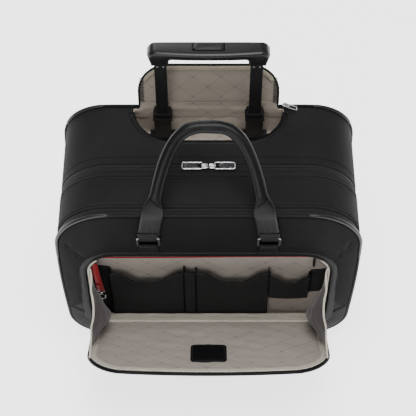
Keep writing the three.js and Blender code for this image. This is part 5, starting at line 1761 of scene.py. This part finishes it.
def side_pulls():
    """The front zip's pulls, which hang down the case's sides: a slider and a tab, a frame round a dark insert.
    """
    for body in ("side_pull_left", "side_pull_right_upper", "side_pull_right_lower"):
        low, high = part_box(body)
        side = -1 if high[0] < 0 else 1
        inner = min(abs(low[0]), abs(high[0]))
        y = (low[1] + high[1]) / 2 - MID_Y
        top, foot = high[2], low[2]

        def place(across, up, out):
            """Across the pull, at a height, and out from the case's side."""
            return np.stack(np.broadcast_arrays(side * (inner + out + side_swell(up)), y + across, up), -1)

        slider = slab(f"{body}_slider", oblong(-4 * mm, top - 10 * mm, 4 * mm, top, 2.2 * mm), 0.1 * mm,
                      2.4 * mm,
                      place, "nickel", body, "bright_metal", 0.7 * mm)
        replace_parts(slider, body)
        loop = oblong(-2.6 * mm, foot + 0.4 * mm, 2.6 * mm, top - 4.5 * mm, 1.6 * mm)
        outward(tube(f"{body}_frame", place(loop[:, 0], loop[:, 1], 2.8 * mm), 0.95 * mm, "nickel", body,
                     "bright_metal", closed=True, sides=8))
        slab(f"{body}_insert", oblong(-2.1 * mm, foot + 1.2 * mm, 2.1 * mm, top - 7.5 * mm, 0.7 * mm),
             2.2 * mm,
             3.3 * mm, place, "gloss", body, "black_plastic", 0.3 * mm)


def well_pull():
    """The well zip's slider and its pull, lying out to the right."""
    low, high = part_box("well_zip_pull")
    y = (low[1] + high[1]) / 2 - MID_Y

    def place(along, across, height):
        """Down the slope from the slider, across it, and off it."""
        slope = math.radians(24)
        return np.stack(np.broadcast_arrays(
            low[0] - 3 * mm + along * math.cos(slope) + height * math.sin(slope), y + across,
            low[2] + 9 * mm - along * math.sin(slope) + height * math.cos(slope)), -1)
    slider = slab("well_slider", oblong(0, -4 * mm, 10 * mm, 4 * mm, 2.2 * mm), 0.1 * mm, 3.9 * mm, place,
                  "nickel",
                  "well_zip_pull", "bright_metal", 0.9 * mm)
    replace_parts(slider, "well_zip_pull")
    loop = oblong(8 * mm, -3 * mm, high[0] - low[0] + 1 * mm, 3 * mm, 1.6 * mm)
    outward(tube("well_pull_frame", place(loop[:, 0], loop[:, 1], 2.2 * mm), 1.0 * mm, "nickel",
                 "well_zip_pull",
                 "bright_metal", closed=True, sides=8))
    slab("well_pull_insert", oblong(11 * mm, -2.4 * mm, high[0] - low[0], 2.4 * mm, 1 * mm), 1.6 * mm,
         2.9 * mm, place,
         "gloss", "well_zip_pull", "black_plastic", 0.4 * mm)

# ---- Wheels, feet and carried-over parts ----------------------------------------------------------


def turned(name, centre_x, centre_z, profile, material, body, slot, sides=56):
    """A closed profile of (radius, across) pairs turned about an axis that runs in X."""
    profile = chaikin(np.array([*profile, profile[0]]) * mm, 1)[:-1]
    turn = np.linspace(0, 2 * math.pi, sides, endpoint=False)
    y = (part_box("axle_right")[0][1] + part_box("axle_right")[1][1]) / 2 - MID_Y
    surface = np.stack([
        np.broadcast_to(centre_x + profile[None, :, 1], (sides, len(profile))),
        y + profile[None, :, 0] * np.cos(turn)[:, None],
        centre_z + profile[None, :, 0] * np.sin(turn)[:, None]], -1)
    return outward(grid(name, surface, material, body, slot, wrap_rows=True, wrap_columns=True))


def wheels():
    """Grooved tyres on ribbed hubs."""
    for name, side in (("left", -1), ("right", 1)):
        low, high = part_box(f"tyre_{name}")
        x, z, body = (low[0] + high[0]) / 2, (low[2] + high[2]) / 2, f"wheel_{name}"
        tread = [(18.4, -11), (26, -12.6), (30.5, -12.4), (32.4, -10.2), (32.9, -6.6), (32.0, -6.0),
                 (32.0, -5.0),
                 (33.0, -4.4), (33.0, -0.7), (32.0, -0.3), (32.0, 0.3), (33.0, 0.7), (33.0, 4.4), (32.0, 5.0),
                 (32.0, 6.0), (32.9, 6.6), (32.4, 10.2), (30.5, 12.4), (26, 12.6), (18.4, 11)]
        tyre = turned(f"grooved_tyre_{name}", x, z, tread, "rubber", body, "tyre", 72)
        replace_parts(tyre, f"tyre_{name}")
        hub = [(4.4, -11.8), (8.0, -11.8), (9.0, -8.0), (13.6, -8.0), (14.8, -11.6), (17.9, -11.6),
               (17.9, 11.6), (14.8, 11.6), (13.6, 8.0), (9.0, 8.0), (8.0, 11.8), (4.4, 11.8)]
        rim = turned(f"wheel_hub_{name}", x, z, hub, "plastic", body, "black_plastic", 48)
        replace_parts(rim, f"hub_{name}")
        y = (low[1] + high[1]) / 2 - MID_Y
        for face in (-1, 1):
            for spoke in range(6):
                angle = spoke * math.pi / 3
                reach = np.linspace(7.5, 14.6, 6) * mm
                path = np.stack([np.full(6, x + face * 8.6 * mm), y + reach * math.cos(angle),
                                 z + reach * math.sin(angle)], 1)
                outward(tube(f"hub_spoke_{name}_{'out' if face == side else 'in'}_{spoke}", path, 1.6 * mm,
                             "plastic",
                             body, "black_plastic", sides=8))


def finish_frame():
    """Materials for the frame's own nodes."""
    finishes = {
        "tube": [f"{stage}_tube_{side}" for stage in ("outer", "lower", "middle",
                                                      "upper") for side in ("left", "right")],
        "plastic": ["tube_bezel_left", "tube_bezel_right", "tube_foot_bracket", "wheel_housing_left",
                    "wheel_housing_right", "base_plate"],
        "rubber": ["foot_left", "foot_right"],
        "dark_metal": ["axle_left", "axle_right"],
        "board": ["back_board"],
        "inner_lining": ["main_lining", "divider_panel"],
    }
    for finish, nodes in finishes.items():
        for node in nodes:
            for slot in frame["nodes"][node].material_slots:
                slot.material = MATERIAL[finish]


def make_floor():
    """A wide pale floor."""
    size = 6.0
    corners = [(-size, -size, 0), (size, -size, 0), (size, size, 0), (-size, size, 0)]
    floor = build("floor", corners, [(0, 1, 2, 3)], "floor", None, None, local=False)


make_camera()
make_studio()
rear_skin()
mid_skin()
zips()
fold_strips()
piping()
front_face()
opening_binding()
pocket_lining()
organizer()
organizer_zip()
key_leash()
pocket_flap()
hinge_strip()
gussets()
well()
well_flap()
pull_grip()
rivets()
carry_handle()
rings_and_tabs()
main_pulls()
side_pulls()
well_pull()
wheels()
finish_frame()
make_floor()
